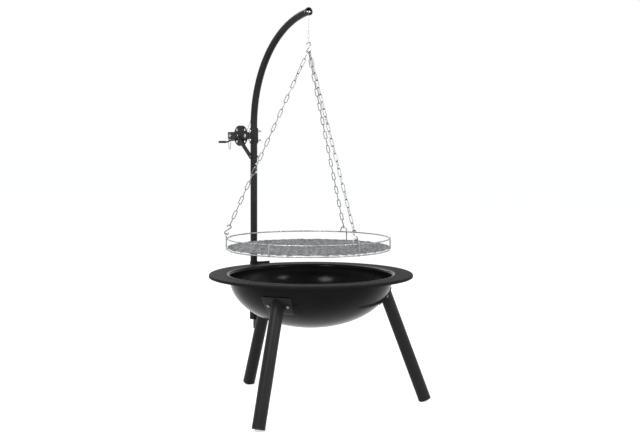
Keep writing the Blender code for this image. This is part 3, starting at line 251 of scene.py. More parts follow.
ZINC = Finish("zinc_plate", "zinc", (0.24, 0.245, 0.25), (0.50, 0.505, 0.51),
              (0.24, 0.40), 1.0, Pattern.PLATED, 0.0015, 0.00003, patch=0.012)
CHAIN_ZINC = Finish("chain_zinc", "zinc", (0.075, 0.077, 0.08), (0.24, 0.245, 0.25),
                    (0.26, 0.42), 1.0, Pattern.PLATED, 0.0015, 0.00003, patch=0.012)
DULL_ZINC = Finish("dull_zinc", "zinc", (0.05, 0.05, 0.052), (0.12, 0.12, 0.125),
                   (0.36, 0.52), 1.0, Pattern.PLATED, 0.0015, 0.00003, patch=0.012)
BRIGHT = Finish("turned_steel", "bright_steel", (0.45, 0.45, 0.46), (0.70, 0.70, 0.70),
                (0.16, 0.28), 1.0, Pattern.TURNED, 0.002, 0.00003, patch=0.01)
GALVANISED = Finish("galvanised_wire", "zinc", (0.16, 0.164, 0.168), (0.39, 0.395, 0.40),
                    (0.34, 0.52), 1.0, Pattern.SPANGLE, 0.004, 0.00003, patch=0.03)
MESH_STEEL = Finish("galvanised_mesh", "grate_steel", (0.11, 0.115, 0.12), (0.27, 0.275, 0.28),
                    (0.38, 0.56), 1.0, Pattern.SPANGLE, 0.005, 0.00004, patch=0.04)
CABLE_STEEL = Finish("steel_strand", "steel_cable", (0.16, 0.165, 0.17), (0.42, 0.425, 0.43),
                     (0.30, 0.46), 1.0, Pattern.PLATED, 0.0008, 0.00002, patch=0.008)
CAD_FINISHES = {
    "black_coat": BLACK_COAT, "bowl_coat": BOWL_COAT, "black_plastic": PLASTIC, "zinc": ZINC,
    "bright_steel": BRIGHT, "grate_steel": MESH_STEEL, "steel_cable": CABLE_STEEL,
}


# Tools of the workshop


def deselect() -> None:
    """Goes to object mode with nothing selected."""
    if bpy.context.mode != "OBJECT":
        bpy.ops.object.mode_set(mode="OBJECT")
    bpy.ops.object.select_all(action="DESELECT")


def pick(obj: bpy.types.Object) -> bpy.types.Object:
    """Makes an object the only one selected, and active.

    Args:
        obj: The object.

    Returns:
        The same object.
    """
    deselect()
    obj.select_set(True)
    bpy.context.view_layer.objects.active = obj
    return obj


def edit(obj: bpy.types.Object) -> None:
    """Goes to edit mode on an object, with all of it selected.

    Args:
        obj: The object.
    """
    pick(obj)
    bpy.ops.object.mode_set(mode="EDIT")
    bpy.ops.mesh.select_all(action="SELECT")


def aimed(point: Vector, direction: Vector) -> Matrix:
    """Returns the place that puts local +Z along a direction, at a point."""
    turn = Vector(direction).to_track_quat("Z", "Y").to_matrix().to_4x4()
    return Matrix.Translation(Vector(point)) @ turn


def apply(obj: bpy.types.Object, kind: str, **settings: object) -> bpy.types.Object:
    """Adds a modifier to an object and applies it.

    Args:
        obj: The piece in work.
        kind: The modifier's type.
        settings: Its values, by name.

    Returns:
        The same object.
    """
    pick(obj)
    step = obj.modifiers.new(kind.lower(), kind)
    for name, value in settings.items():
        setattr(step, name, value)
    bpy.ops.object.modifier_apply(modifier=step.name)
    return obj


def soften(obj: bpy.types.Object, width: float, segments: int = 2, angle: float = 40.0) -> bpy.types.Object:
    """Rounds an object's sharp edges."""
    return apply(obj, "BEVEL", width=width, segments=segments, limit_method="ANGLE",
                 angle_limit=math.radians(angle), use_clamp_overlap=True)


def thicken(obj: bpy.types.Object, thickness: float, offset: float = 1.0) -> bpy.types.Object:
    """Gives a sheet its thickness."""
    return apply(obj, "SOLIDIFY", thickness=thickness, offset=offset, use_even_offset=True)


def carve(obj: bpy.types.Object, *cutters: bpy.types.Object) -> bpy.types.Object:
    """Cuts other shapes out of an object, and removes them.

    Args:
        obj: The object.
        cutters: The shapes to cut out.

    Returns:
        The same object.
    """
    for cutter in cutters:
        apply(obj, "BOOLEAN", operation="DIFFERENCE", solver="EXACT", object=cutter)
        bpy.data.objects.remove(cutter, do_unlink=True)
    return obj


def joined(obj: bpy.types.Object, *others: bpy.types.Object) -> bpy.types.Object:
    """Joins other objects' meshes to an object's.

    Args:
        obj: The object that stays.
        others: The objects that go into it.

    Returns:
        The object that stays.
    """
    pick(obj)
    for other in others:
        other.select_set(True)
    bpy.ops.object.join()
    return obj


def copied(obj: bpy.types.Object, place: Matrix) -> bpy.types.Object:
    """Returns a copy with its own mesh, put in another place.

    Args:
        obj: The object.
        place: How the copy is placed.

    Returns:
        A copy with its own mesh, put in another place.
    """
    made = obj.copy()
    made.data = obj.data.copy()
    bpy.context.scene.collection.objects.link(made)
    made.data.transform(place)
    return made


def settle(obj: bpy.types.Object, name: str, body: str, finish: Finish, *nodes: str,
           smooth: float = 35.0) -> bpy.types.Object:
    """Names a finished piece, dresses it and seats it on its body.

    Args:
        obj: The piece, modelled around the bowl's axis.
        name: Its name in the scene.
        body: The body that it moves with.
        finish: Its finish.
        nodes: The solids that it stands for.
        smooth: The angle in degrees above which an edge shows as sharp.

    Returns:
        The same object.
    """
    pick(obj)
    bpy.ops.object.transform_apply(location=True, rotation=True, scale=True)
    obj.data.transform(ORIGIN)
    bpy.ops.object.shade_smooth_by_angle(angle=math.radians(smooth))
    obj.name = obj.data.name = name
    obj.data.materials.clear()
    obj.data.materials.append(finish.material())
    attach(obj, body)
    if nodes:
        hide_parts(*nodes)
    LOG.info("%s: %d faces on %s", name, len(obj.data.polygons), body)
    return obj


def traced(points: list[Vector]) -> bpy.types.Object:
    """Returns a line of edges, made by extruding one point along a path, in edit mode.

    Args:
        points: The points of the line.

    Returns:
        A line of edges, made by extruding one point along a path, in edit mode.
    """
    deselect()
    bpy.ops.mesh.primitive_plane_add(size=0.01)
    obj = bpy.context.object
    bpy.ops.object.mode_set(mode="EDIT")
    bpy.ops.mesh.select_all(action="SELECT")
    bpy.ops.mesh.merge(type="CENTER")
    bpy.ops.transform.translate(value=points[0])
    for before, after in pairwise(points):
        bpy.ops.mesh.extrude_region_move(TRANSFORM_OT_translate={"value": after - before})
    return obj


def lathe(profile: Profile, steps: int, place: Matrix | None = None, turn: float = math.tau,
          closed: bool = False) -> bpy.types.Object:
    """Spins a half profile round local Z.

    Args:
        profile: Pairs of radius and height.
        steps: How many steps the spin takes.
        place: Where the shape goes.
        turn: The angle that it covers.
        closed: Whether the profile joins up with its start.

    Returns:
        The spun shape, with its faces outwards.
    """
    points = [Vector((radius, 0.0, height)) for radius, height in profile]
    obj = traced(points + points[:1] if closed else points)
    bpy.ops.mesh.select_all(action="SELECT")
    bpy.ops.mesh.spin(steps=steps, angle=-turn, center=(0.0, 0.0, 0.0), axis=(0.0, 0.0, 1.0))
    bpy.ops.mesh.select_all(action="SELECT")
    bpy.ops.mesh.remove_doubles(threshold=MERGE)
    bpy.ops.mesh.normals_make_consistent(inside=False)
    bpy.ops.object.mode_set(mode="OBJECT")
    obj.data.transform(place or Matrix())
    return obj


def ribbon(points: list[Vector], rise: Vector) -> bpy.types.Object:
    """Returns a sheet made by extruding a traced line once.

    Args:
        points: The points of the line.
        rise: How far the line is extruded.

    Returns:
        A sheet made by extruding a traced line once.
    """
    obj = traced(points)
    bpy.ops.mesh.select_all(action="SELECT")
    bpy.ops.mesh.extrude_region_move(TRANSFORM_OT_translate={"value": rise})
    bpy.ops.mesh.select_all(action="SELECT")
    bpy.ops.mesh.normals_make_consistent(inside=False)
    bpy.ops.object.mode_set(mode="OBJECT")
    return obj


def face_away(obj: bpy.types.Object, centre: Vector) -> bpy.types.Object:
    """Turns an open sheet's faces away from a point.

    Args:
        obj: The sheet.
        centre: The point.

    Returns:
        The same object.
    """
    lean = sum((face.center - centre).dot(face.normal) * face.area for face in obj.data.polygons)
    if lean < 0:
        edit(obj)
        bpy.ops.mesh.flip_normals()
        bpy.ops.object.mode_set(mode="OBJECT")
    return obj


def bar(start: Vector, end: Vector, radius: float, sides: int = 32) -> bpy.types.Object:
    """Returns a plain round bar between two points, as a blank or a cutter.

    Args:
        start: The middle of one end.
        end: The middle of the other.
        radius: The radius.
        sides: How many faces it has round.

    Returns:
        A plain round bar between two points, as a blank or a cutter.
    """
    start, end = Vector(start), Vector(end)
    deselect()
    bpy.ops.mesh.primitive_cylinder_add(vertices=sides, radius=radius, depth=(end - start).length)
    obj = bpy.context.object
    obj.data.transform(aimed((start + end) / 2, end - start))
    return obj


def block(low: Vector, high: Vector) -> bpy.types.Object:
    """Returns a block between two corners, as a blank or a cutter.

    Args:
        low: The lowest corner.
        high: The highest corner.

    Returns:
        A block between two corners, as a blank or a cutter.
    """
    low, high = Vector(low), Vector(high)
    deselect()
    bpy.ops.mesh.primitive_cube_add(size=1.0)
    obj = bpy.context.object
    obj.data.transform(Matrix.Translation((low + high) / 2) @ Matrix.Diagonal((*(high - low), 1.0)))
    return obj


def round_corners(obj: bpy.types.Object, along: int, radius: float, segments: int = 6) -> bpy.types.Object:
    """Rounds the edges of a block that run along one axis.

    Args:
        obj: The block.
        along: The axis's number.
        radius: The corners' radius.
        segments: How many faces each corner gets.

    Returns:
        The same object.
    """
    edit(obj)
    bpy.ops.mesh.select_mode(type="EDGE")
    bpy.ops.mesh.select_all(action="DESELECT")
    bpy.ops.object.mode_set(mode="OBJECT")
    vertices = obj.data.vertices
    others = [axis for axis in range(3) if axis != along]
    for edge in obj.data.edges:
        span = vertices[edge.vertices[0]].co - vertices[edge.vertices[1]].co
        edge.select = all(abs(span[axis]) < 1e-6 for axis in others)
    bpy.ops.object.mode_set(mode="EDIT")
    bpy.ops.mesh.bevel(offset=radius, segments=segments, affect="EDGES")
    bpy.ops.mesh.select_mode(type="VERT")
    bpy.ops.object.mode_set(mode="OBJECT")
    return obj


def bent(points: list[Vector], radius: float, steps: int = 6, cyclic: bool = False) -> list[Vector]:
    """Returns a path with its corners turned into arcs, as a bent wire has.

    Args:
        points: The path's corners.
        radius: The bend's radius, cut down where the stretches are too short for it.
        steps: How many pieces each bend gets.
        cyclic: Whether the path closes on itself.

    Returns:
        A path with its corners turned into arcs, as a bent wire has.
    """
    path, count = [], len(points)
    for i, here in enumerate(points):
        if not cyclic and i in (0, count - 1):
            path.append(here.copy())
            continue
        back, ahead = points[i - 1] - here, points[(i + 1) % count] - here
        half = back.angle(ahead) / 2
        if half > math.radians(89):
            path.append(here.copy())
            continue
        reach = min(radius / math.tan(half), back.length * 0.49, ahead.length * 0.49)
        size = reach * math.tan(half)
        first, last = back.normalized(), ahead.normalized()
        centre = here + (first + last).normalized() * (size / math.sin(half))
        start, end = here + first * reach - centre, here + last * reach - centre
        for k in range(steps + 1):
            path.append(centre + start.slerp(end, k / steps) * size)
    return path


def swept(points: list[Vector], radius: float, sides: int = 12, cyclic: bool = False,
          rounded: bool = True, open_ends: bool = False,
          swell: list[float] | None = None) -> bpy.types.Object:
    """Sweeps a round section along a path.

    Args:
        points: The path.
        radius: The section's radius.
        sides: How many sides it has.
        cyclic: Whether the path closes on itself.
        rounded: Whether the ends are domed.
        open_ends: Whether the ends are left open, for a tube.
        swell: The radius's share at each point, where it varies.

    Returns:
        The swept shape as a mesh.
    """
    path, sizes = [p.copy() for p in points], list(swell or [1.0] * len(points))
    if rounded and not cyclic and not open_ends:
        for end in (0, -1):
            tip, before = path[end], path[1 if end == 0 else -2]
            out = (tip - before).normalized() * radius
            caps = [(tip + out * (math.sin(a) - 0.55), math.cos(a)) for a in (0.35, 0.75, 1.1, 1.4)]
            path[end] = tip - out * 0.55
            for point, size in caps:
                path.insert(0 if end == 0 else len(path), point)
                sizes.insert(0 if end == 0 else len(sizes), size)
    deselect()
    curve = bpy.data.curves.new("sweep", "CURVE")
    curve.dimensions = "3D"
    curve.bevel_depth = radius
    curve.bevel_resolution = max(0, (sides - 4) // 2)
    curve.use_fill_caps = not open_ends
    spline = curve.splines.new("POLY")
    spline.points.add(len(path) - 1)
    for held, point, size in zip(spline.points, path, sizes):
        held.co = (*point, 1.0)
        held.radius = size
    spline.use_cyclic_u = cyclic
    obj = bpy.data.objects.new("sweep", curve)
    bpy.context.scene.collection.objects.link(obj)
    pick(obj)
    bpy.ops.object.convert(target="MESH")
    obj = bpy.context.object
    edit(obj)
    bpy.ops.mesh.remove_doubles(threshold=MERGE)
    bpy.ops.mesh.normals_make_consistent(inside=False)
    bpy.ops.object.mode_set(mode="OBJECT")
    return obj


def arc(centre: Vector, first: Vector, second: Vector, radius: float, start: float, end: float,
        steps: int) -> list[Vector]:
    """Returns points of an arc in the plane of two directions, its angles in degrees."""
    angles = [math.radians(start + (end - start) * i / steps) for i in range(steps + 1)]
    return [centre + first * (radius * math.cos(a)) + second * (radius * math.sin(a)) for a in angles]


def round_point(radius: float, azimuth: float, z: float, centre_y: float = 0.0) -> Vector:
    """Returns a point at an azimuth in degrees round the bowl's or the grate's axis."""
    angle = math.radians(azimuth)
    return Vector((radius * math.cos(angle), centre_y + radius * math.sin(angle), z))


def level(azimuth: float) -> Vector:
    """Returns the level direction at an azimuth in degrees."""
    return round_point(1.0, azimuth, 0.0)


# Fasteners


@dataclass
class Fastener:
    """A dome-headed bolt with its washer and, where it has one, its nut and thread."""

    head: float = 0.0062
    height: float = 0.0042
    shank: float = 0.0029
    washer: float = 0.0
    nut: float = 0.0056
    nut_height: float = 0.005

    def build(self, at: Vector, outward: Vector, grip: float, tail: float = 0.0,
              spacer: tuple[float, float, float] | None = None) -> bpy.types.Object:
        """Makes the fastener with its head's underside at a point.

        Args:
            at: The head's seat.
            outward: The way that the head faces.
            grip: The depth of the nut's face below the seat.
            tail: How much thread stands out past the nut.
            spacer: The start, end and radius of a barrel between the clamped pieces.

        Returns:
            The fastener as one object.
        """
        washer = 0.001 if self.washer else 0.0
        profile = [(0.0, self.height)]
        dome = self.height - washer - 0.0006
        profile += [(self.head * math.sin(a), washer + 0.0006 + dome * math.cos(a))
                    for a in (math.radians(12 * i) for i in range(1, 8))]
        profile += [(self.head, washer + 0.0006), (self.head, washer)]
        if washer:
            profile += [(self.washer - 0.0002, washer), (self.washer, washer - 0.0002), (self.washer, 0.0)]
        profile += [(self.shank, 0.0)]
        if spacer:
            start, end, radius = spacer
            profile += [(self.shank, -start), (radius, -start), (radius, -end), (self.shank, -end)]
        if self.nut:
            thread = -grip - self.nut_height
            profile += [(self.shank, -grip), (self.shank, thread)]
            turns = int(tail / 0.0008)
            for _ in range(turns):
                profile += [(self.shank, thread - 0.0001), (self.shank * 0.86, thread - 0.0004),
                            (self.shank, thread - 0.0007)]
                thread -= 0.0008
            profile += [(self.shank * 0.8, thread - 0.0005), (0.0, thread - 0.0005)]
        else:
            profile += [(self.shank, -grip - tail), (0.0, -grip - tail)]
        place = aimed(at, outward)
        bolt = lathe(profile, 24, place)
        if not self.nut:
            return bolt
        deselect()
        bpy.ops.mesh.primitive_cylinder_add(vertices=6, radius=self.nut * 1.1, depth=self.nut_height - 0.0001,
                                            location=(0.0, 0.0, -grip - self.nut_height / 2))
        nut = bpy.context.object
        bpy.ops.object.transform_apply()
        soften(nut, 0.0005, 2, 35)
        nut.data.transform(place)
        return joined(bolt, nut)


SMALL_SCREW = Fastener(0.0042, 0.0025, 0.0019, nut=0.0)
SMALL_BOLT = Fastener(0.0042, 0.0025, 0.0019, nut=0.0042, nut_height=0.0045)


# Bowl and stand


@dataclass
class Bowl:
    """The dished fire bowl with its flat rim and rolled lip."""

    radius: float = 0.272
    depth: float = 0.167
    wall: float = 0.002
    fillet: float = 0.010
    rim: float = 0.340
    top: float = 0.437
    lip: float = 0.0095
    roll: float = 0.0045

    @property
    def centre_z(self) -> float:
        """The height at which the dish's wall stands upright."""
        return self.top - self.fillet

    def point(self, angle: float, offset: float = 0.0) -> tuple[float, float]:
        """Returns radius and height on the dish's outer surface, moved out by an offset.

        Args:
            angle: The profile angle.
            offset: The distance off the dish's outer surface.

        Returns:
            Radius and height on the dish's outer surface, moved out by an offset.
        """
        normal = Vector((math.cos(angle) / self.radius, -math.sin(angle) / self.depth)).normalized()
        return (self.radius * math.cos(angle) + offset * normal.x,
                self.centre_z - self.depth * math.sin(angle) + offset * normal.y)

    def angle(self, z: float) -> float:
        """Returns the profile angle at a height of the outer surface."""
        return math.asin((self.centre_z - z) / self.depth)

    def dish(self, offset: float, steps: int) -> Profile:
        """Returns the dish's profile from its upper edge down to its middle."""
        points = [self.point(math.pi / 2 * i / steps, offset) for i in range(steps)]
        return points + [(0.0, self.centre_z - self.depth - offset)]

    def seat(self, azimuth: float, z: float, offset: float) -> tuple[Vector, Vector]:
        """Returns a point off the dish's outer surface and the outward normal there.

        Args:
            azimuth: The azimuth in degrees.
            z: The height.
            offset: The distance off the dish's outer surface.

        Returns:
            A point off the dish's outer surface and the outward normal there.
        """
        angle = self.angle(z)
        radius, height = self.point(angle, offset)
        slope = Vector((math.cos(angle) / self.radius, -math.sin(angle) / self.depth)).normalized()
        return round_point(radius, azimuth, height), level(azimuth) * slope.x + UP * slope.y

    def space(self, offset: float) -> bpy.types.Object:
        """Returns the room that the dish takes up, with a clearance, as a cutter."""
        dish = self.dish(offset, 40)
        return lathe([(0.0, self.top), (dish[0][0], self.top), *dish], 120)

    def build(self) -> None:
        """Makes the bowl."""
        inner = self.dish(-self.wall, 40)[::-1]
        fold = self.radius - self.wall + self.fillet
        curl = [math.radians(a) for a in range(170, 89, -10)]
        top = [(fold + self.fillet * math.cos(a), self.centre_z + self.fillet * math.sin(a)) for a in curl]
        flat = [(fold + (self.rim - fold) * share, self.top) for share in (0.1, 0.4, 0.75)]
        edge = self.rim - self.roll
        roll = [(edge + self.roll * math.cos(a), self.top - self.roll + self.roll * math.sin(a))
                for a in (math.radians(d) for d in range(90, -1, -15))]
        low = self.top - self.lip
        lip = [(self.rim, low + 0.0008), (self.rim - 0.0005, low), (self.rim - self.wall + 0.0005, low),
               (self.rim - self.wall, low + 0.0008)]
        small = self.roll - self.wall
        under = [(edge + small * math.cos(a), self.top - self.roll + small * math.sin(a))
                 for a in (math.radians(d) for d in range(0, 91, 22))]
        tuck = self.fillet - self.wall
        below = [(fold + tuck * math.cos(a), self.centre_z + tuck * math.sin(a)) for a in reversed(curl)]
        profile = [*inner, *top, *flat, *roll, *lip, *under, *below, *self.dish(0.0, 40)]
        shell = settle(lathe(profile, 180), "bowl_shell", "stand", BOWL_COAT, "fire_bowl", smooth=50)
        shell.data.materials.append(RIM_COAT.material())
        for face in shell.data.polygons:
            centre = face.center - ORIGIN.to_translation()
            if centre.z > self.top - self.lip - 0.001 and math.hypot(centre.x, centre.y) > fold:
                face.material_index = 1


@dataclass
class Stand:
    """The three legs with their flanges, caps, bolts and weld beads."""

    bowl: Bowl
    radius: float = 0.0212
    splay: float = math.radians(20.5)
    foot_reach: float = 0.388
    top_z: float = 0.387
    flange: float = 0.003
    flange_top: float = 0.391
    flange_bottom: float = 0.334
    half_turn: float = 11.25
    bolt_turn: float = 7.5
    bolt_z: float = 0.362
    cap: float = 0.004
    cap_flat: float = 0.002

    def axis(self, azimuth: float) -> tuple[Vector, Vector]:
        """Returns a leg's point on the ground and its direction upwards."""
        up = UP * math.cos(self.splay) - level(azimuth) * math.sin(self.splay)
        return round_point(self.foot_reach, azimuth, 0.0), up

    def build(self) -> None:
        """Makes all three legs and what holds them."""
        for name, azimuth in LEG_AZIMUTHS.items():
            self._leg(name, azimuth)
            self._cap(name, azimuth)
            self._flange(name, azimuth)
            self._bead(name, azimuth)
            for number, side in enumerate((-1, 1), start=1):
                self._bolt(f"{name}_{number}", azimuth + side * self.bolt_turn)

    def _heel(self) -> float:
        """Returns how far up the leg's axis its cap starts."""
        return (self.radius * math.sin(self.splay) - self.cap_flat) / math.cos(self.splay)

    def _leg(self, name: str, azimuth: float) -> None:
        """Makes one tube leg, cut to its flange.

        Args:
            name: The leg's name.
            azimuth: Its azimuth in degrees.
        """
        foot, up = self.axis(azimuth)
        start = foot + up * (self._heel() + self.cap + GAP)
        leg = bar(start, foot + up * (self.top_z / up.z), self.radius, 64)
        carve(leg, self.bowl.space(self.flange + 2 * GAP))
        settle(leg, f"{name}_leg_tube", "stand", BLACK_COAT, f"leg_{name}")

    def _cap(self, name: str, azimuth: float) -> None:
        """Makes one foot cap, worn flat where it stands.

        Args:
            name: The leg's name.
            azimuth: Its azimuth in degrees.
        """
        foot, up = self.axis(azimuth)
        inside, step = self.radius - 0.0019, 0.0007
        profile = [(0.0, 0.020), (inside - step, 0.020), (inside, 0.020 - step), (inside, self.cap),
                   (self.radius, self.cap), (self.radius, step * 1.4), (self.radius - step, step * 0.3),
                   (self.radius - step * 2, 0.0), (0.0, 0.0)]
        cap = lathe(profile, 64, aimed(foot + up * self._heel(), up))
        edit(cap)
        bpy.ops.mesh.bisect(plane_co=(0.0, 0.0, 0.0), plane_no=(0.0, 0.0, -1.0), use_fill=True,
                            clear_outer=True)
        bpy.ops.object.mode_set(mode="OBJECT")
        settle(cap, f"{name}_cap", "stand", PLASTIC, f"foot_cap_{name}")

    def _flange(self, name: str, azimuth: float) -> None:
        """Makes one curved plate between leg and bowl, with round corners.

        Args:
            name: The leg's name.
            azimuth: Its azimuth in degrees.
        """
        high, low = self.bowl.angle(self.flange_top), self.bowl.angle(self.flange_bottom)
        line = [self.bowl.point(high + (low - high) * i / 10, GAP) for i in range(11)]
        turn = Matrix.Rotation(math.radians(azimuth - self.half_turn), 4, "Z")
        plate = lathe(line, 24, turn, math.radians(2 * self.half_turn))
        self._round_plate(plate)
        face_away(plate, Vector((0.0, 0.0, self.bowl.top)))
        thicken(plate, self.flange)
        soften(plate, 0.0006)
        settle(plate, f"{name}_flange", "stand", BLACK_COAT, f"leg_flange_{name}")

    @staticmethod
    def _round_plate(plate: bpy.types.Object) -> None:
        """Rounds the four corners of a curved plate.

        Args:
            plate: The plate.
        """
        pick(plate)
        mesh = plate.data
        used = [0] * len(mesh.vertices)
        for face in mesh.polygons:
            for index in face.vertices:
                used[index] += 1
        for group in (mesh.edges, mesh.polygons):
            for item in group:
                item.select = False
        for vertex, count in zip(mesh.vertices, used):
            vertex.select = count == 1
        bpy.ops.object.mode_set(mode="EDIT")
        bpy.ops.mesh.bevel(offset=PLATE_CORNER, segments=4, affect="VERTICES")
        bpy.ops.object.mode_set(mode="OBJECT")

    def _bead(self, name: str, azimuth: float) -> None:
        """Lays the weld bead where a leg meets its flange.

        Args:
            name: The leg's name.
            azimuth: Its azimuth in degrees.
        """
        foot, up = self.axis(azimuth)
        side = level(azimuth + 90)
        front = side.cross(up).normalized()
        clear = self.flange + GAP
        wide, deep = self.bowl.radius + clear, self.bowl.depth + clear
        path = []
        for i in range(72):
            angle = math.tau * i / 72
            edge = foot + (side * math.cos(angle) + front * math.sin(angle)) * (self.radius + 0.0002)
            near, far = 0.25, 0.46
            for _ in range(24):
                middle = (near + far) / 2
                at = edge + up * middle
                across, down = Vector((at.x, at.y)).length / wide, (self.bowl.centre_z - at.z) / deep
                inside = across ** 2 + down ** 2 < 1
                near, far = (near, middle) if inside else (middle, far)
            path.append(edge + up * near)
        ripple = [1.0 + 0.14 * math.sin(i * 2.6) for i in range(len(path))]
        bead = swept(path, 0.0019, 10, cyclic=True, swell=ripple)
        settle(bead, f"{name}_leg_bead", "stand", BLACK_COAT, smooth=80)

    def _bolt(self, name: str, azimuth: float) -> None:
        """Sets one bolt through flange and bowl, its nut inside the bowl.

        Args:
            name: The leg's name.
            azimuth: The bolt's azimuth in degrees.
        """
        seat, normal = self.bowl.seat(azimuth, self.bolt_z, self.flange + 1.5 * GAP)
        bolt = Fastener().build(seat, normal, self.flange + self.bowl.wall + 2 * GAP, 0.0024)
        settle(bolt, f"{name}_flange_bolt", "stand", CHAIN_ZINC, f"leg_bolt_{name}")


@dataclass
class MastFoot:
    """The cup under the mast on its web, and the strap that holds the mast to the rim."""

    stand: Stand
    mast_radius: float = 0.0122
    mast_y: float = 0.3528
    foot_z: float = 0.241
    top_z: float = 0.276
    wall: float = 0.0022
    floor: float = 0.003
    web: float = 0.006
    web_bottom: float = 0.205
    strap: float = 0.0018
    strap_height: float = 0.0085
    tab_turn: float = 9.6
    strap_rise: float = 0.007

    def build(self) -> None:
        """Makes the cup with its web and welds, and the strap."""
        self._cup()
        self._strap()

    def _cup(self) -> None:
        """Makes the cup and the web that joins it to the rear leg."""
        bore = self.mast_radius + GAP
        outer, floor = bore + self.wall, self.foot_z - GAP
        soft = 0.0007
        profile = [(0.0, floor), (bore, floor), (bore, self.top_z - soft), (bore + soft, self.top_z),
                   (outer - soft, self.top_z), (outer, self.top_z - soft), (outer, floor - self.floor + soft),
                   (outer - soft, floor - self.floor), (0.0, floor - self.floor)]
        cup = lathe(profile, 56, Matrix.Translation((0.0, self.mast_y, 0.0)))
        foot, up = self.stand.axis(90.0)
        half = self.web / 2
        inner_y = foot.y + up.y / up.z * (self.web_bottom + self.top_z) / 2
        web = block((-half, inner_y, self.web_bottom), (half, self.mast_y, self.top_z - 0.004))
        carve(web, bar(foot, foot + up * 0.4, self.stand.radius + GAP, 64),
              bar((0.0, self.mast_y, floor - self.floor + 0.0005), (0.0, self.mast_y, self.top_z + 0.01),
                  bore + self.wall / 2, 56))
        soften(web, 0.0006)
        lower = self.web_bottom + 0.004
        beads = []
        for side in (-1, 1):
            x = side * half
            path = [Vector((x, self._leg_face(z, abs(x)), z)) for z in
                    (lower + (self.top_z - 0.010 - lower) * i / 24 for i in range(25))]
            beads.append(swept(path, 0.0014, 8, swell=[1 + 0.16 * math.sin(i * 2.4) for i in range(25)]))
            edge_y = self.mast_y - math.sqrt(outer ** 2 - half ** 2)
            path = [Vector((x, edge_y, floor + (self.top_z - 0.008 - floor) * i / 14)) for i in range(15)]
            beads.append(swept(path, 0.0012, 8, swell=[1 + 0.16 * math.sin(i * 2.4) for i in range(15)]))
        settle(joined(cup, web, *beads), "mast_cup", "stand", BLACK_COAT, "mast_socket")

    def _leg_face(self, z: float, x: float) -> float:
        """Returns the rear leg's outer face in y, at a height and a distance from its middle."""
        foot, up = self.stand.axis(90.0)
        return foot.y + up.y / up.z * z + math.sqrt(self.stand.radius ** 2 - x ** 2) / up.z

    def _strap(self) -> None:
        """Makes the strap as one bent ribbon, with its screw."""
        rim = self.stand.bowl.rim + GAP
        bore = self.mast_radius + GAP
        low = self.stand.bowl.top - self.strap_height
        centre = Vector((0.0, self.mast_y, low))
        start, turn = 90.0 - self.tab_turn, self.tab_turn - math.degrees((bore + 0.003) / rim)
        path = [round_point(rim, start + turn * i / 8, low) for i in range(9)]
        path += arc(centre, Vector((1, 0, 0)), Vector((0, 1, 0)), bore, -48, 228, 30)
        strap = ribbon(bent(path, 0.002, 3), UP * (self.strap_height + self.strap_rise))
        mast = Vector((0.0, self.mast_y, low + self.strap_height / 2))
        face_away(strap, mast)
        thicken(strap, self.strap)
        soften(strap, 0.0004)
        settle(strap, "rim_strap_band", "stand", BLACK_COAT, "rim_strap")
        azimuth = 90.0 - self.tab_turn * 0.72
        at = round_point(rim + self.strap + GAP, azimuth, self.stand.bowl.top - 0.00475)
        screw = SMALL_SCREW.build(at, level(azimuth), 0.0038, 0.0015)
        settle(screw, "rim_strap_screw", "stand", ZINC, "strap_screw")


# Mast and winch


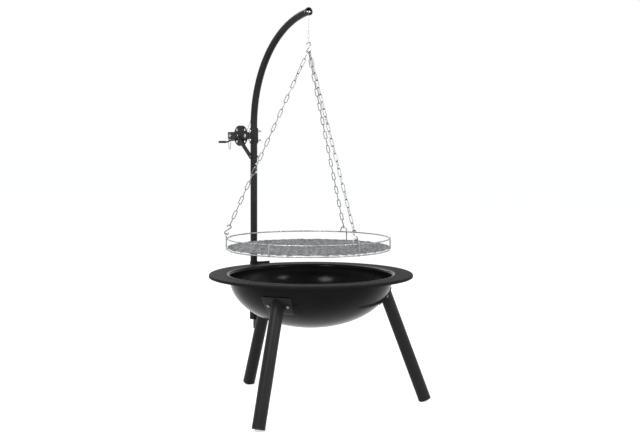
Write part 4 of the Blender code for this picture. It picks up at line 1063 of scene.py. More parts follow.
@dataclass
class Mast:
    """The two mast tubes, the curved arm's tip and its roller."""

    radius: float = 0.0122
    wall: float = 0.0015
    y: float = 0.3528
    foot_z: float = 0.241
    joint_z: float = 0.7785
    tip_y: float = 0.010
    tip_z: float = 1.3123
    bend: float = math.radians(84.0)
    entry_z: float = 0.967
    cable_y: float = 0.014
    cable: float = 0.001
    roller: float = 0.0047
    groove: float = 0.0035
    roller_length: float = 0.0178
    slot: float = 0.003
    joint_bolt: float = 0.0145
    side_screw_z: float = 0.5277
    side_screw_azimuth: float = 235.0

    @property
    def bend_radius(self) -> float:
        """The radius of the arm's bend."""
        return (self.y - self.tip_y) / (1.0 - math.cos(self.bend))

    @property
    def bend_z(self) -> float:
        """The height at which the bend starts."""
        return self.tip_z - self.bend_radius * math.sin(self.bend)

    @property
    def roller_at(self) -> Vector:
        """The roller's middle, on the arm's own line."""
        y = self.cable_y + self.groove + self.cable + GAP
        return self.point(math.acos(1.0 - (self.y - y) / self.bend_radius))

    def point(self, angle: float) -> Vector:
        """Returns a point of the arm's line at an angle of its bend."""
        return Vector((0.0, self.y - self.bend_radius * (1.0 - math.cos(angle)),
                       self.bend_z + self.bend_radius * math.sin(angle)))

    def entry(self) -> Vector:
        """Returns where the cable goes through the arm's wall."""
        angle = math.asin((self.entry_z - self.bend_z) / self.bend_radius)
        return self.point(angle) + Vector((0, self.radius, 0))

    def build(self) -> None:
        """Makes the tubes, the joint's bolts, the tip and the roller."""
        self._lower_tube()
        self._arm()
        self._joint()
        self._tip()

    def _tube(self, path: list[Vector]) -> bpy.types.Object:
        """Returns a tube with a bore and softened ends along a path.

        Args:
            path: The points that it follows.

        Returns:
            A tube with a bore and softened ends along a path.
        """
        tube = swept(path, self.radius, 40, open_ends=True)
        thicken(tube, self.wall, -1.0)
        return soften(tube, 0.0003, 2, 60)

    def _lower_tube(self) -> None:
        """Makes the lower tube, up to the joint."""
        heights = [self.foot_z, self.foot_z + 0.01, 0.40, 0.55, 0.70,
                   self.joint_z - 0.01, self.joint_z - GAP / 2]
        tube = self._tube([Vector((0.0, self.y, z)) for z in heights])
        settle(tube, "lower_mast_tube", "mast", BLACK_COAT, "mast_tube")

    def _arm(self) -> None:
        """Makes the upper tube with its bend, cable hole and notch, and the rubber ring in the hole."""
        heights = [self.joint_z + GAP / 2, self.joint_z + 0.01, 0.85, 0.90]
        path = [Vector((0.0, self.y, z)) for z in heights]
        path += [self.point(self.bend * i / 60) for i in range(61)]
        arm = self._tube(path)
        tip, half = self.point(self.bend), self.slot
        end_y = self.cable_y + self.cable + self.slot
        slot = block((-half, tip.y - 0.012, tip.z - 0.03), (half, end_y - half, tip.z - self.roller))
        round_end = bar((0.0, end_y - half, tip.z - 0.03), (0.0, end_y - half, tip.z - self.roller), half, 24)
        hole_at = self.entry() - Vector((0, self.radius, 0))
        hole = bar(hole_at, hole_at + Vector((0.0, 0.03, 0.0)), 0.0042, 24)
        carve(arm, slot, round_end, hole)
        settle(arm, "curved_arm_tube", "mast", BLACK_COAT, "mast_arm")
        grommet = [(0.0036 + 0.0011 * math.cos(a), 0.0011 * math.sin(a)) for a in
                   (math.tau * i / 10 for i in range(10))]
        mouth = aimed(self.entry() + Vector((0.0, 0.0001, 0.0)), Vector((0, 1, 0.05)))
        rubber = lathe(grommet, 28, mouth, closed=True)
        settle(rubber, "cable_grommet", "mast", PLASTIC)

    def _joint(self) -> None:
        """Makes the bolts across the mast's joint and the screw in the mast's side."""
        for name, offset in (("lower", -self.joint_bolt), ("upper", self.joint_bolt)):
            at = Vector((0.0, self.y + self.radius + GAP, self.joint_z + offset))
            bolt = SMALL_BOLT.build(at, Vector((0, 1, 0)), 2 * (self.radius + GAP), 0.0008)
            settle(bolt, f"{name}_joint_bolt", "mast", ZINC, f"joint_bolt_{name}")
        facing = level(self.side_screw_azimuth)
        at = Vector((0.0, self.y, self.side_screw_z)) + facing * (self.radius + GAP)
        screw = SMALL_SCREW.build(at, facing, 0.0, 0.004)
        settle(screw, "mast_side_screw", "mast", PLASTIC, "mast_screw")

    def _tip(self) -> None:
        """Makes the trim ring at the arm's mouth, the roller and its pin."""
        tip = self.point(self.bend)
        forward = (tip - self.point(self.bend * 59 / 60)).normalized()
        bore, wall, length = self.radius + GAP, 0.0016, 0.006
        soft = 0.0005
        profile = [(bore, 0.0), (bore + wall - soft, 0.0), (bore + wall, -soft),
                   (bore + wall, soft - length), (bore + wall - soft, -length), (bore, -length)]
        ring = lathe(profile, 56, aimed(tip, forward), closed=True)
        half, end_y = self.slot, self.cable_y + self.cable + self.slot
        carve(ring, block((-half, tip.y - 0.02, tip.z - 0.03), (half, end_y, tip.z - self.roller)))
        settle(ring, "arm_mouth_ring", "mast", PLASTIC, "arm_collar")
        half, bore, soft = self.roller_length / 2, 0.0021, 0.0005
        groove = half * 0.35
        depth = self.roller - self.groove
        dip = [(self.groove + depth * (abs(i) / 8) ** 1.5, groove * i / 8) for i in range(8, -9, -1)]
        profile = [(bore, half), (self.roller - soft, half), (self.roller, half - soft), *dip,
                   (self.roller, soft - half), (self.roller - soft, -half), (bore, -half)]
        roller = lathe(profile, 48, aimed(self.roller_at, Vector((1, 0, 0))), closed=True)
        settle(roller, "cable_roller", "roller", BRIGHT, "tip_roller")
        reach = self.radius + 0.0008
        profile = [(0.0, reach), (0.0022, reach - 0.0001), (0.0028, reach - 0.0005), (0.0028, reach - 0.0007),
                   (0.0018, reach - 0.0007), (0.0018, 0.0007 - reach), (0.0028, 0.0007 - reach),
                   (0.0028, 0.0005 - reach), (0.0022, 0.0001 - reach), (0.0, -reach)]
        pin = lathe(profile, 24, aimed(self.roller_at, Vector((1, 0, 0))))
        settle(pin, "roller_pin_peened", "mast", ZINC, "roller_pin")


@dataclass
class Winch:
    """The hand winch on the mast: plates, reel, crank and the crank's keeper."""

    mast: Mast
    reach: float = 0.088
    z: float = 0.8945
    inside: float = 0.0092
    plate: float = 0.0025
    half_height: float = 0.0135
    outer_end: float = 0.071
    reel: float = 0.0375
    half_width: float = 0.0065
    flange: float = 0.0015
    core: float = 0.0205
    axle: float = 0.0047
    crank: float = 0.003
    crank_plane: float = -0.0212
    crank_reach: float = 0.055
    crank_drop: float = 0.023
    handle: float = 0.030
    grip: float = 0.0042
    keeper_y: float = 0.060
    keeper_z: float = -0.0085
    keeper_half: float = 0.0045
    keeper_length: float = 0.040
    saddle_half: float = 0.0275
    saddle_wall: float = 0.003
    saddle_bolt: float = 0.0163
    inner_bolt_y: float = -0.049
    outer_bolt_y: float = 0.055
    brace: float = 0.003
    brace_half: float = 0.0085
    brace_top: tuple[float, float] = (-0.0112, -0.0115)
    brace_drop: float = 0.075
    hole: float = 0.0048
    hole_inset: float = 0.001

    def at(self, x: float, y: float, z: float) -> Vector:
        """Returns a point given from the reel's middle, y away from the mast."""
        return Vector((x, self.mast.y + self.reach + y, self.z + z))

    def build(self) -> None:
        """Makes every piece of the winch."""
        self._saddle()
        self._plates()
        self._brace()
        self._reel()
        self._crank()
        self._keeper()

    def _saddle(self) -> None:
        """Makes the open sleeve on the mast, with the two bolts that cross it."""
        inner, half, thick = self.mast.radius + GAP, self.saddle_half, self.saddle_wall
        turn = Matrix.Translation((0.0, self.mast.y, self.z)) @ Matrix.Rotation(math.radians(-45), 4, "Z")
        shell = lathe([(inner, half), (inner, 0.0), (inner, -half)], 54, turn, math.radians(270))
        face_away(shell, Vector((0.0, self.mast.y, self.z)))
        thicken(shell, thick)
        soften(shell, 0.0006)
        settle(shell, "winch_saddle_shell", "mast", BLACK_COAT, "winch_saddle")
        seat = self.mast.radius + thick + 2 * GAP
        for name, z in (("lower", self.z - self.saddle_bolt), ("upper", self.z + self.saddle_bolt)):
            at = Vector((-seat, self.mast.y, z))
            bolt = Fastener(nut=0.0043).build(at, Vector((-1, 0, 0)), 2 * seat, 0.0095)
            settle(bolt, f"{name}_saddle_bolt", "mast", ZINC, f"saddle_bolt_{name}")

    def _plates(self) -> None:
        """Makes the two side plates, with holes, and the bolts and barrels between them."""
        start = self.mast.radius * 0.5 - self.reach
        bolts = (("inner", self.inner_bolt_y), ("outer", self.outer_bolt_y))
        for name, side in (("near", -1), ("far", 1)):
            x = sorted((side * self.inside, side * (self.inside + self.plate)))
            plate = block(self.at(x[0], start, -self.half_height),
                          self.at(x[1], self.outer_end, self.half_height))
            round_corners(plate, 0, 0.003)
            saddle = bar((0.0, self.mast.y, self.z - 0.04), (0.0, self.mast.y, self.z + 0.04),
                         self.mast.radius + self.saddle_wall + 2 * GAP, 64)
            holes = [self._across(0.0, 0.0, self.axle + GAP)]
            holes += [self._across(y, 0.0, 0.0032) for _, y in bolts]
            if side < 0:
                holes.append(self._across(self.keeper_y, self.keeper_z, 0.0024))
            carve(plate, saddle, *holes)
            soften(plate, 0.0004)
            settle(plate, f"{name}_side_plate", "mast", BLACK_COAT, f"winch_plate_{name}")
        outside = self.inside + self.plate + GAP
        for name, y in bolts:
            edge = outside - self.inside + GAP
            bolt = Fastener(0.0060, 0.0040, washer=0.0068).build(
                self.at(-outside, y, 0.0), Vector((-1, 0, 0)), 2 * outside,
                0.0016, (edge, 2 * outside - edge, 0.0044))
            settle(bolt, f"{name}_plate_bolt", "mast", ZINC, f"plate_bolt_{name}")

    def _across(self, y: float, z: float, radius: float) -> bpy.types.Object:
        """Returns a cutter that crosses the winch from side to side."""
        return bar(self.at(-0.03, y, z), self.at(0.03, y, z), radius, 32)

    def _brace(self) -> None:
        """Makes the flat brace from the near plate to the mast, with its bolt."""
        thick, half = self.brace, self.brace_half
        x = -(self.mast.radius + GAP + thick / 2)
        top, foot = self.at(x, *self.brace_top), Vector((x, self.mast.y, self.z - self.brace_drop))
        span = (foot - top).length
        strip = block((-half, -half, -thick / 2), (span + half, half, thick / 2))
        round_corners(strip, 2, half * 0.98, 10)
        carve(strip, bar((span, 0.0, -0.01), (span, 0.0, 0.01), 0.0022, 24))
        soften(strip, 0.0004)
        along = (foot - top).normalized()
        across = Vector((1, 0, 0)).cross(along)
        strip.data.transform(Matrix.Translation(top) @ Matrix((
            (along.x, across.x, 1, 0), (along.y, across.y, 0, 0), (along.z, across.z, 0, 0), (0, 0, 0, 1))))
        settle(strip, "winch_brace_strip", "mast", BLACK_COAT, "winch_brace")
        head = thick / 2 + GAP - x
        bolt = SMALL_BOLT.build(Vector((-head, self.mast.y, foot.z)), Vector((-1, 0, 0)),
                                head + self.mast.radius + GAP, 0.0008)
        settle(bolt, "winch_brace_bolt", "mast", DULL_ZINC, "brace_bolt")

    def _reel(self) -> None:
        """Makes the reel with beaded flange edges and pierced flanges, and its axle."""
        bore, half = self.axle + GAP, self.half_width
        inner = half - self.flange
        bead = [(self.reel - 0.0009 + 0.0009 * math.cos(a), (half + inner) / 2 + 0.0011 * math.sin(a))
                for a in (math.radians(d) for d in range(80, -81, -20))]
        upper = [(bore, half + 0.0006), (0.0095, half + 0.0006), (0.0102, half), *bead, (self.core, inner)]
        lower = [(r, -z) for r, z in reversed(upper)]
        reel = lathe([*upper, *lower], 72, aimed(self.at(0, 0, 0), Vector((1, 0, 0))), closed=True)
        pitch = (self.core + self.reel) / 2 - self.hole_inset
        for angle in (50.0, 130.0, 230.0, 310.0):
            spot = round_point(pitch, angle, 0.0)
            carve(reel, self._across(spot.x, spot.y, self.hole))
        settle(reel, "cable_reel_body", "reel", BLACK_COAT, "cable_reel")
        start, end = self.crank_plane + 2 * self.crank - 0.001, self.inside + self.plate + 0.0025
        soft = 0.0006
        profile = [(0.0, end), (self.axle - soft, end), (self.axle, end - soft), (self.axle, start + soft),
                   (self.axle - soft, start), (0.0, start)]
        axle = lathe(profile, 40, aimed(self.at(0, 0, 0), Vector((1, 0, 0))))
        settle(axle, "reel_axle_pin", "reel", ZINC, "reel_axle")

    def _crank(self) -> None:
        """Makes the bent crank rod and the dipped grip on its handle."""
        end = self.crank_plane + 2 * self.crank - 0.001
        reach, drop = self.crank_reach, -self.crank_drop
        outer = self.crank_plane - 2 * self.crank
        corners = [(end - GAP, 0.0, 0.0), (self.crank_plane, 0.0, 0.0),
                   (self.crank_plane, reach * 0.07, drop * 0.68),
                   (self.crank_plane, reach * 0.76, drop * 0.74), (self.crank_plane, reach, drop),
                   (outer - self.handle, reach, drop)]
        path = bent([self.at(*corner) for corner in corners], 0.0065, 8)
        settle(swept(path, self.crank, 20), "crank_bent_rod", "reel", BLACK_COAT, "crank_rod", smooth=60)
        near, length = outer - 0.004, self.handle - 0.004 + self.crank
        bore, full = self.crank + 0.0001, self.grip
        profile = [(0.0, length + 0.0006), (full * 0.5, length + 0.0004), (full * 0.85, length - 0.0006),
                   (full, length - 0.0022)]
        for i in range(9):
            z = length - 0.006 - i * (length - 0.010) / 9
            profile += [(full, z + 0.0010), (full - 0.0004, z), (full, z - 0.0010)]
        profile += [(full, 0.0009), (full - 0.0005, 0.0), (bore, 0.0), (bore, length - 0.003),
                    (0.0, length - 0.003)]
        grip = lathe(profile, 36, aimed(self.at(near, reach, drop), Vector((-1, 0, 0))))
        settle(grip, "crank_dipped_grip", "reel", PLASTIC, "crank_grip", smooth=50)

    def _keeper(self) -> None:
        """Makes the wire loop that hangs from the near plate."""
        middle = -(self.inside + self.plate / 2)
        top = self.keeper_z - 0.0024 + 0.001 + GAP
        half, length = self.keeper_half, self.keeper_length
        corners = [(-half - 0.0004, 0.0), (half + 0.0004, 0.0), (half, -0.4 * length), (half * 0.62, -length),
                   (-half * 0.62, -length), (-half, -0.4 * length)]
        path = bent([self.at(middle + x, self.keeper_y, top + z) for x, z in corners], 0.0024, 7, cyclic=True)
        loop = swept(path, 0.001, 12, cyclic=True)
        settle(loop, "crank_keeper_loop", "keeper", CHAIN_ZINC, "crank_keeper", smooth=60)


# Cable, hooks and chains


@dataclass
class Cable:
    """The stranded cable: its turns, its run in the arm, its drop and its eye."""

    mast: Mast
    winch: Winch
    radius: float = 0.001
    turns: int = 3
    last_turn: float = 330 / 360
    pitch: float = 0.0026
    strands: int = 6
    lay: float = 0.013
    hook_top: float = 1.2087
    hook_wire: float = 0.0018
    eye_length: float = 0.0165
    eye_width: float = 0.0085
    ferrule: float = 0.0026
    ferrule_length: float = 0.015
    hook_azimuth: float = -36.0

    @property
    def eye_bottom(self) -> float:
        """The height of the eye's lowest wire."""
        return self.hook_top - self.hook_wire - self.radius - GAP

    @property
    def ferrule_top(self) -> float:
        """The height of the ferrule's upper end."""
        return self.eye_bottom + self.eye_length + self.ferrule_length

    def build(self) -> None:
        """Makes every stretch of the cable."""
        inner = self.winch.core + GAP + self.radius
        turns = self._turns(inner, self.turns, self.turns / 2)
        self._laid(turns, "cable_turns", "reel", "cable_winding")
        last = self._turns(inner + 2 * (self.radius + GAP), self.last_turn, 0.5)
        self._laid(last + self._run(last[-1]), "cable_in_arm", "mast", "cable_run")
        top = Vector((0.0, self.mast.cable_y, self.mast.roller_at.z - GAP))
        low = Vector((0.0, self.mast.cable_y, self.ferrule_top + GAP))
        drop = self._strand([top + (low - top) * i / 60 for i in range(61)])
        settle_blend(drop, "cable_free_drop", CABLE_STEEL, "cable_drop", ("mast", "hanger"))
        self._eye()

    def _laid(self, path: list[Vector], name: str, body: str, node: str) -> None:
        """Lays one stretch of cable along a path."""
        settle(self._strand(path), name, body, CABLE_STEEL, node, smooth=80)

    def _strand(self, path: list[Vector], share: float = 1.0) -> bpy.types.Object:
        """Returns a cable of twisted strands along a path.

        Args:
            path: The cable's line.
            share: Its thickness as a share of the cable's own.

        Returns:
            A cable of twisted strands along a path.
        """
        spaced, carried = [path[0].copy()], 0.0
        step = 0.0011
        for before, after in pairwise(path):
            length = (after - before).length
            while carried + length >= step and length > 0:
                before = before + (after - before) * ((step - carried) / length)
                spaced.append(before.copy())
                length, carried = (after - before).length, 0.0
            carried += length
        spaced.append(path[-1].copy())
        deselect()
        section = bpy.data.curves.new("section", "CURVE")
        rim = section.splines.new("POLY")
        sides = self.strands * 4
        rim.points.add(sides - 1)
        rim.use_cyclic_u = True
        for k, held in enumerate(rim.points):
            angle = math.tau * k / sides
            size = self.radius * share * (0.80 + 0.20 * abs(math.cos(angle * self.strands / 2)))
            held.co = (size * math.cos(angle), size * math.sin(angle), 0.0, 1.0)
        lobes = bpy.data.objects.new("section", section)
        bpy.context.scene.collection.objects.link(lobes)
        curve = bpy.data.curves.new("strand", "CURVE")
        curve.dimensions = "3D"
        curve.bevel_mode = "OBJECT"
        curve.bevel_object = lobes
        curve.use_fill_caps = True
        line = curve.splines.new("POLY")
        line.points.add(len(spaced) - 1)
        for i, (held, point) in enumerate(zip(line.points, spaced)):
            held.co = (*point, 1.0)
            held.tilt = math.tau * i * step / self.lay
        obj = bpy.data.objects.new("strand", curve)
        bpy.context.scene.collection.objects.link(obj)
        pick(obj)
        bpy.ops.object.convert(target="MESH")
        obj = bpy.context.object
        bpy.data.objects.remove(lobes, do_unlink=True)
        edit(obj)
        bpy.ops.mesh.remove_doubles(threshold=MERGE)
        bpy.ops.mesh.normals_make_consistent(inside=False)
        bpy.ops.object.mode_set(mode="OBJECT")
        return obj

    def _turns(self, radius: float, turns: float, middle: float) -> list[Vector]:
        """Returns the line of one layer of the cable on the reel.

        Args:
            radius: The layer's radius.
            turns: How many turns it has, up to where the cable would leave for the mast.
            middle: The turn at which it crosses the reel's middle.

        Returns:
            The line of one layer of the cable on the reel.
        """
        entry = self.mast.entry() - self.winch.at(0, 0, 0)
        flat = Vector((entry.y, entry.z))
        last = math.atan2(flat.y, flat.x) + math.acos(radius / flat.length)
        count = int(turns * 96)
        path = []
        for i in range(count + 1):
            turn = turns * i / count
            angle = last + (turns - turn) * math.tau
            path.append(self.winch.at(self.pitch * (turn - middle), radius * math.cos(angle),
                                      radius * math.sin(angle)))
        return path

    def _run(self, leave: Vector) -> list[Vector]:
        """Returns the line from where the cable leaves the reel, through the arm and over the roller.

        Args:
            leave: Where the cable leaves the reel.

        Returns:
            The line from where the cable leaves the reel, through the arm and over the roller.
        """
        mast = self.mast
        entry = mast.entry()
        direction = (entry - leave).normalized()
        first = math.asin((mast.entry_z - mast.bend_z) / mast.bend_radius)
        roller = mast.roller_at
        final = math.acos(1.0 - (mast.y - roller.y - 0.035) / mast.bend_radius)
        route = [leave + direction * 0.004, entry - direction * 0.004, mast.point(first + 0.035)]
        route += [mast.point(first + 0.09 + (final - first - 0.09) * i / 30) for i in range(31)]
        over = mast.groove + self.radius + GAP
        route += [roller + Vector((0.0, -over * math.cos(a), over * math.sin(a)))
                  for a in (math.radians(d) for d in range(108, -1, -6))]
        return route

    def _eye(self) -> None:
        """Makes the loop at the cable's end and the pressed sleeve that closes it."""
        across = level(self.hook_azimuth + 90)
        middle = Vector((0.0, self.mast.cable_y, self.eye_bottom + self.eye_width / 2))
        neck = Vector((0.0, self.mast.cable_y, self.eye_bottom + self.eye_length))
        side = across * 0.00115
        half = self.eye_width / 2
        loop = [neck - side + UP * 0.004, neck - side, neck - side - UP * 0.002]
        loop += arc(middle, across, UP, half, 180, 360, 24)
        loop += [neck + side - UP * 0.002, neck + side, neck + side + UP * 0.004]
        settle(self._strand(loop, 0.98), "cable_eye_loop", "eye", CABLE_STEEL, smooth=80)
        wide, long = self.ferrule, self.ferrule_length
        profile = [(0.0, long), (wide * 0.6, long), (wide * 0.9, long - 0.0005), (wide, long - 0.0014)]
        for press in (0.74, 0.5, 0.26):
            profile += [(wide, long * press + 0.0017), (wide * 0.84, long * press + 0.0009),
                        (wide * 0.84, long * press - 0.0009), (wide, long * press - 0.0017)]
        profile += [(wide, 0.0014), (wide * 0.9, 0.0005), (wide * 0.6, 0.0), (0.0, 0.0)]
        place = Matrix.Translation(neck) @ Matrix.Rotation(math.radians(self.hook_azimuth), 4, "Z")
        sleeve = lathe(profile, 32, place @ Matrix.Diagonal((0.86, 1.12, 1.0, 1.0)))
        settle(sleeve, "cable_sleeve", "eye", ZINC, "cable_eye", smooth=50)


def settle_blend(obj: bpy.types.Object, name: str, finish: Finish, node: str, bodies: tuple[str, str]) -> None:
    """Dresses a piece that stretches between two bodies.

    Args:
        obj: The piece, modelled around the bowl's axis.
        name: Its name in the scene.
        finish: Its finish.
        node: The solid that it stands for.
        bodies: The bodies at its start and its end.
    """
    pick(obj)
    obj.data.transform(ORIGIN)
    bpy.ops.object.shade_smooth_by_angle(angle=math.radians(80))
    obj.name = obj.data.name = name
    obj.data.materials.append(finish.material())
    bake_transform(obj)
    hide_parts(node)
    LOG.info("%s: %d faces between %s and %s", name, len(obj.data.polygons), *bodies)


@dataclass
class Suspension:
    """The hooks and the three chains between the cable's eye and the grate's posts."""

    cable: Cable
    grate_radius: float = 0.271
    grate_wire: float = 0.0022
    post_top: float = 0.5705
    hook_height: float = 0.036
    hook_bend: float = 0.0064
    lower_height: float = 0.034
    lower_bend: float = 0.0062
    links: int = 24
    link_wire: float = 0.0013
    link_width: float = 0.0120

    @property
    def post_radius(self) -> float:
        """The distance of the posts from the cable's line."""
        return self.grate_radius * math.cos(math.pi / 36) + 2 * self.grate_wire + GAP

    def build(self) -> None:
        """Makes the top hook, the chains and the hooks at their lower ends."""
        wire = self.cable.hook_wire
        top = Vector((0.0, self.cable.mast.cable_y, self.cable.hook_top))
        path = self._s_line(top, -UP, level(self.cable.hook_azimuth), self.hook_height, self.hook_bend)
        settle(swept(path, wire, 16), "top_s_hook", "grate", CHAIN_ZINC, "top_hook", smooth=60)
        for name, seat, twist in (("left", 210.0, 0.0), ("rear", 270.0, 26.0), ("front", 330.0, 26.0)):
            self._chain(name, CHAIN_AZIMUTHS[name], seat, twist)

    @staticmethod
    def _s_line(top: Vector, along: Vector, across: Vector, height: float, bend: float) -> list[Vector]:
        """Returns an S hook's line, from the tip of its upper bend to that of its lower one.

        Args:
            top: The top of the hook's upper bend.
            along: The direction of the upper bend's opening.
            across: The direction of the lower bend's.
            height: The whole height.
            bend: The bends' radius.

        Returns:
            An S hook's line, from the tip of its upper bend to that of its lower one.
        """
        path = arc(top + along * bend, across, -along, bend, 200, -25, 22)
        path += arc(top + along * (height - bend), across, -along, bend, 155, 380, 22)
        return path

    def _chain(self, name: str, azimuth: float, seat: float, twist: float) -> None:
        """Makes one chain of linked ovals, and the hook at its lower end.

        Args:
            name: The chain's name.
            azimuth: The direction in which it hangs, in degrees.
            seat: Where it sits on the top hook's lower bend, in degrees.
            twist: How far its lower hook is turned about the chain, in degrees.
        """
        wire = self.cable.hook_wire
        across = level(self.cable.hook_azimuth)
        angle = math.radians(seat)
        low = self.cable.hook_top - self.hook_height
        centre = Vector((0.0, self.cable.mast.cable_y, low + self.hook_bend))
        out = self.hook_bend - wire - self.link_wire - GAP
        start = centre + (across * math.cos(angle) + UP * math.sin(angle)) * out
        tangent = UP * math.cos(angle) - across * math.sin(angle)
        post = round_point(self.post_radius, azimuth, self.post_top, self.cable.mast.cable_y)
        along = (post - start).normalized()
        hook_top = post + along * (self.grate_wire + wire + GAP - self.lower_height)
        end = hook_top + along * (wire + self.link_wire + GAP)
        sideways = Matrix.Rotation(math.radians(-twist), 3, along) @ level(azimuth + 90)
        span = (end - start).length
        pitch = (span - 2 * self.link_wire) / self.links
        first = along.cross(tangent).normalized()
        other = along.cross(first)
        wanted = math.atan2(sideways.dot(other), sideways.dot(first))
        spare = (wanted - (self.links - 1) * math.pi / 2) % math.pi
        spare = spare - math.pi if spare > math.pi / 2 else spare
        link = self._link(pitch + 2 * self.link_wire - 0.00005)
        links = []
        swing = random.Random(sum(map(ord, name)))
        for number in range(self.links):
            turn = number * math.pi / 2 + spare * min(number, 4) / 4 + swing.uniform(-0.05, 0.05)
            side = first * math.cos(turn) + other * math.sin(turn)
            face = along.cross(side)
            at = start + along * (self.link_wire + pitch * (number + 0.5))
            basis = Matrix((side, along, face)).transposed().to_4x4()
            links.append(copied(link, Matrix.Translation(at) @ basis))
        bpy.data.objects.remove(link, do_unlink=True)
        settle(joined(*links), f"{name}_chain_links", "grate", CHAIN_ZINC, f"chain_{name}", smooth=60)
        hook = self._s_line(hook_top, along, sideways.cross(along), self.lower_height, self.lower_bend)
        settle(swept(hook, wire, 16), f"{name}_s_hook", "grate", CHAIN_ZINC, f"chain_hook_{name}", smooth=60)

    def _link(self, length: float) -> bpy.types.Object:
        """Returns one welded link, lying along local Y.

        Args:
            length: The link's length.

        Returns:
            One welded link, lying along local Y.
        """
        bend = self.link_width / 2 - self.link_wire
        straight = length / 2 - bend
        east, north = Vector((1, 0, 0)), Vector((0, 1, 0))
        path = arc(north * straight, east, north, bend, 0, 180, 8)
        path += arc(-north * straight, east, north, bend, 180, 360, 8)
        return swept(path, self.link_wire, 8, cyclic=True)


@dataclass
class Grate:
    """The round grate: two rings, posts, uprights and the raised mesh between them."""

    hang: Suspension
    radius: float = 0.271
    wire: float = 0.0022
    lower_z: float = 0.5175
    upper_z: float = 0.553
    post_half: float = 0.0112
    mesh_radius: float = 0.2700
    long_way: float = 0.060
    short_way: float = 0.0230
    strand: float = 0.0044
    thickness: float = 0.0013
    lean: float = 38.0

    @property
    def centre_y(self) -> float:
        """The grate's middle, under the cable."""
        return self.hang.cable.mast.cable_y

    def build(self) -> None:
        """Makes the rings, the posts and the cooking surface."""
        for name, z in (("lower", self.lower_z), ("upper", self.upper_z)):
            path = [round_point(self.radius, 2.0 * i, z, self.centre_y) for i in range(180)]
            ring = swept(path, self.wire, 16, cyclic=True)
            pieces = self._welds(z) + (self._uprights() if name == "upper" else [])
            settle(joined(ring, *pieces), f"{name}_grate_ring", "grate", GALVANISED,
                   f"grate_ring_{name}", smooth=60)
        self._posts()
        self._mesh()

    def _welds(self, z: float) -> list[bpy.types.Object]:
        """Returns the small weld spots between a ring and its posts and uprights.

        Args:
            z: The ring's height.

        Returns:
            The small weld spots between a ring and its posts and uprights.
        """
        spots = []
        places = [(azimuth, 0.0) for azimuth in UPRIGHT_AZIMUTHS]
        for name, azimuth in CHAIN_AZIMUTHS.items():
            sides = (-1, 1) if z == self.upper_z else (-self._short_side(name),)
            places += [(azimuth, self.post_half * side) for side in sides]
        for azimuth, shift in places:
            at = round_point(self.radius + self.wire * 0.95, azimuth, z, self.centre_y)
            at += level(azimuth + 90) * shift
            deselect()
            bpy.ops.mesh.primitive_ico_sphere_add(subdivisions=2, radius=0.0024)
            spot = bpy.context.object
            spot.data.transform(aimed(at, level(azimuth)) @ Matrix.Diagonal((0.9, 1.25, 0.75, 1.0)))
            spots.append(spot)
        return spots

    @staticmethod
    def _short_side(name: str) -> int:
        """Returns the side on which a post's short leg stands."""
        return -1 if name == "front" else 1

    def _uprights(self) -> list[bpy.types.Object]:
        """Returns the plain uprights that join the two rings.

        Returns:
            The plain uprights that join the two rings.
        """
        rods = []
        for azimuth in UPRIGHT_AZIMUTHS:
            low = round_point(self.hang.post_radius, azimuth, self.lower_z - self.wire, self.centre_y)
            high = round_point(self.hang.post_radius, azimuth, self.upper_z + self.wire, self.centre_y)
            rods.append(swept([low, (low + high) / 2, high], self.wire, 16))
        return rods

    def _posts(self) -> None:
        """Makes the inverted-U posts that the chain hooks hold."""
        for name, azimuth in CHAIN_AZIMUTHS.items():
            base = round_point(self.hang.post_radius, azimuth, 0.0, self.centre_y)
            side = level(azimuth + 90) * self._short_side(name)
            shoulder = self.hang.post_top - self.post_half
            path = [base + side * self.post_half + UP * (self.upper_z - self.wire)]
            path += arc(base + UP * shoulder, side, UP, self.post_half, 0, 180, 20)
            path += [base - side * self.post_half + UP * (self.lower_z - self.wire)]
            post = swept(path, self.wire, 16)
            settle(post, f"{name}_hook_post", "grate", GALVANISED, f"hook_post_{name}", smooth=60)

    def _mesh(self) -> None:
        """Makes the expanded-metal surface: leaning strands that meet at bonds, cut round."""
        lean = math.radians(self.lean)
        wide = Vector((0.0, math.cos(lean), math.sin(lean))) * self.strand
        half_long, bond = self.long_way / 2, self.long_way * 0.12
        rise = Vector((0.0, self.short_way / 4 - wide.y / 2, -wide.z / 2))
        count = int(self.mesh_radius / half_long) + 2
        knots = []
        for k in range(-count, count + 1):
            middle = Vector((k * half_long, 0.0, 0.0)) + rise * (1 if k % 2 else -1)
            knots += [middle - Vector((bond / 2, 0, 0)), middle + Vector((bond / 2, 0, 0))]
        strip = ribbon([knot - wide / 2 for knot in knots], wide)
        thicken(strip, self.thickness, 0.0)
        soften(strip, 0.00025, 1, 50)
        rows = int(self.mesh_radius / (self.short_way / 2)) + 1
        places = [Vector((half_long * (row % 2), row * self.short_way / 2, 0.0))
                  for row in range(-rows, rows + 1)]
        sheet = joined(*[copied(strip, Matrix.Translation(place)) for place in places])
        bpy.data.objects.remove(strip, do_unlink=True)
        edit(sheet)
        for cut in range(60):
            out = level(6.0 * cut)
            bpy.ops.mesh.select_all(action="SELECT")
            bpy.ops.mesh.bisect(plane_co=out * self.mesh_radius, plane_no=out, use_fill=True,
                                clear_outer=True)
        bpy.ops.mesh.select_all(action="SELECT")
        bpy.ops.mesh.normals_make_consistent(inside=False)
        bpy.ops.object.mode_set(mode="OBJECT")
        z = self.lower_z + self.wire + GAP + wide.z + self.thickness / 2
        turn = Matrix.Rotation(math.radians(self.hang.cable.hook_azimuth), 4, "Z")
        sheet.data.transform(Matrix.Translation((0.0, self.centre_y, z)) @ turn)
        settle(sheet, "raised_grate_mesh", "grate", MESH_STEEL, "grate_mesh", smooth=30)


# Studio


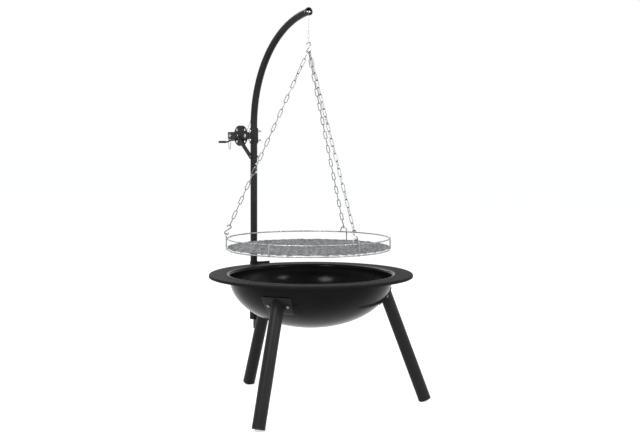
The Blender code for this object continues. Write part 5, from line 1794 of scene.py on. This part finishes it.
@dataclass
class Studio:
    """The pale floor, the soft lamps and the camera."""

    target: Vector
    floor_size: float = 60.0
    floor_tone: float = 0.50
    floor_glow: float = 0.67
    sky_strength: float = 0.75
    view_azimuth: float = -36.0
    image_width: float = 640.0
    middle_row: float = 219.5
    horizon_row: float = 132.0
    focal_pixels: float = 1145.0
    camera_side: float = 0.030
    camera_distance: float = 3.8245
    camera_height: float = 0.908

    def build(self) -> None:
        """Sets up the floor, world, lamps and camera."""
        self._floor()
        self._world()
        for name, place, size, power in (
            ("key_lamp", (-1.58, -0.89, 2.02), 0.6, 58.0), ("front_lamp", (0.56, -2.50, 1.93), 0.5, 48.0),
            ("fill_lamp", (3.2, -2.2, 2.2), 2.6, 40.0), ("back_lamp", (0.6, 3.4, 3.0), 2.4, 60.0),
        ):
            self._lamp(name, Vector(place), size, power)
        self._camera()
        view = bpy.context.scene.view_settings
        view.view_transform = "Standard"

    def _floor(self) -> None:
        """Lays the floor, pale to the camera and in reflections, with the object's shadow on it."""
        deselect()
        bpy.ops.mesh.primitive_plane_add(size=self.floor_size)
        floor = bpy.context.object
        floor.name = "floor"
        made = bpy.data.materials.new("pale_floor")
        made.use_nodes = True
        tree = made.node_tree
        tree.nodes.clear()
        lit = tree.nodes.new("ShaderNodeBsdfDiffuse")
        lit.inputs["Color"].default_value = (*(self.floor_tone,) * 3, 1.0)
        glow = tree.nodes.new("ShaderNodeEmission")
        total = tree.nodes.new("ShaderNodeAddShader")
        out = tree.nodes.new("ShaderNodeOutputMaterial")
        tree.links.new(self._seen(tree, self.floor_glow), glow.inputs["Strength"])
        tree.links.new(lit.outputs[0], total.inputs[0])
        tree.links.new(glow.outputs[0], total.inputs[1])
        tree.links.new(total.outputs[0], out.inputs[0])
        floor.data.materials.append(made)

    @staticmethod
    def _seen(tree: bpy.types.NodeTree, share: float) -> bpy.types.NodeSocket:
        """Returns a share for rays that the camera sees, straight or in gloss or glass, and 0 for others.

        Args:
            tree: The material's node tree.
            share: The share.

        Returns:
            A share for rays that the camera sees, straight or in gloss or glass, and 0 for others.
        """
        path = tree.nodes.new("ShaderNodeLightPath")
        total = path.outputs["Is Camera Ray"]
        for name in ("Is Glossy Ray", "Is Transmission Ray"):
            add = tree.nodes.new("ShaderNodeMath")
            add.operation = "MAXIMUM"
            tree.links.new(total, add.inputs[0])
            tree.links.new(path.outputs[name], add.inputs[1])
            total = add.outputs[0]
        scale = tree.nodes.new("ShaderNodeMath")
        scale.operation = "MULTIPLY"
        scale.inputs[1].default_value = share
        tree.links.new(total, scale.inputs[0])
        return scale.outputs[0]

    def _world(self) -> None:
        """Makes the world white behind the object and a soft light round it."""
        world = bpy.data.worlds.new("studio")
        bpy.context.scene.world = world
        world.use_nodes = True
        tree = world.node_tree
        tree.nodes.clear()
        soft = tree.nodes.new("ShaderNodeBackground")
        soft.inputs["Color"].default_value = (0.86, 0.88, 0.90, 1.0)
        soft.inputs["Strength"].default_value = self.sky_strength
        white = tree.nodes.new("ShaderNodeBackground")
        white.inputs["Color"].default_value = (1.0, 1.0, 1.0, 1.0)
        white.inputs["Strength"].default_value = 1.0
        mix = tree.nodes.new("ShaderNodeMixShader")
        out = tree.nodes.new("ShaderNodeOutputWorld")
        tree.links.new(self._seen(tree, 1.0), mix.inputs[0])
        tree.links.new(soft.outputs[0], mix.inputs[1])
        tree.links.new(white.outputs[0], mix.inputs[2])
        tree.links.new(mix.outputs[0], out.inputs[0])

    def _lamp(self, name: str, place: Vector, size: float, power: float) -> None:
        """Hangs one soft lamp that faces the object.

        Args:
            name: The lamp's name.
            place: Where it hangs.
            size: Its width.
            power: Its power in watts.
        """
        light = bpy.data.lights.new(name, "AREA")
        light.shape = "DISK"
        light.size = size
        light.energy = power
        lamp = bpy.data.objects.new(name, light)
        bpy.context.scene.collection.objects.link(lamp)
        lamp.matrix_world = aimed(place, place - self.target)

    def _camera(self) -> None:
        """Sets the camera at the photograph's place."""
        data = bpy.data.cameras.new("camera")
        camera = bpy.data.objects.new("camera", data)
        bpy.context.scene.collection.objects.link(camera)
        bpy.context.scene.camera = camera
        turn = math.radians(self.view_azimuth)
        forward = Vector((-math.sin(turn), math.cos(turn), 0.0))
        right = Vector((math.cos(turn), math.sin(turn), 0.0))
        data.sensor_width = 36.0
        data.lens = self.focal_pixels / self.image_width * data.sensor_width
        data.shift_y = (self.horizon_row - self.middle_row) / self.image_width
        data.clip_end = 100.0
        camera.location = ORIGIN @ (right * self.camera_side - forward * self.camera_distance
                                    + UP * self.camera_height)
        camera.rotation_mode = "QUATERNION"
        camera.rotation_quaternion = forward.to_track_quat("-Z", "Y")


def dress_solids() -> None:
    """Gives each solid that stays in view the finish of its slot."""
    slots = {entry["node"]: entry["material_slot"] for entry in frame["record"]["subparts"]}
    for name, node in frame["nodes"].items():
        finish = CAD_FINISHES[slots[name]]
        node.data.materials.clear()
        node.data.materials.append(finish.material())


def main() -> None:
    """Builds every sub-assembly in order, and then the studio."""
    logging.basicConfig(level=logging.INFO, format="%(name)s %(message)s")
    dress_solids()
    bowl = Bowl()
    stand = Stand(bowl)
    mast = Mast()
    winch = Winch(mast)
    cable = Cable(mast, winch)
    hang = Suspension(cable)
    for assembly in (bowl, stand, MastFoot(stand), mast, winch, cable, hang, Grate(hang)):
        assembly.build()
        LOG.info("%s is done", type(assembly).__name__)
    Studio(Vector((0.0, 0.0, 0.6))).build()


if __name__ == "__main__":
    main()
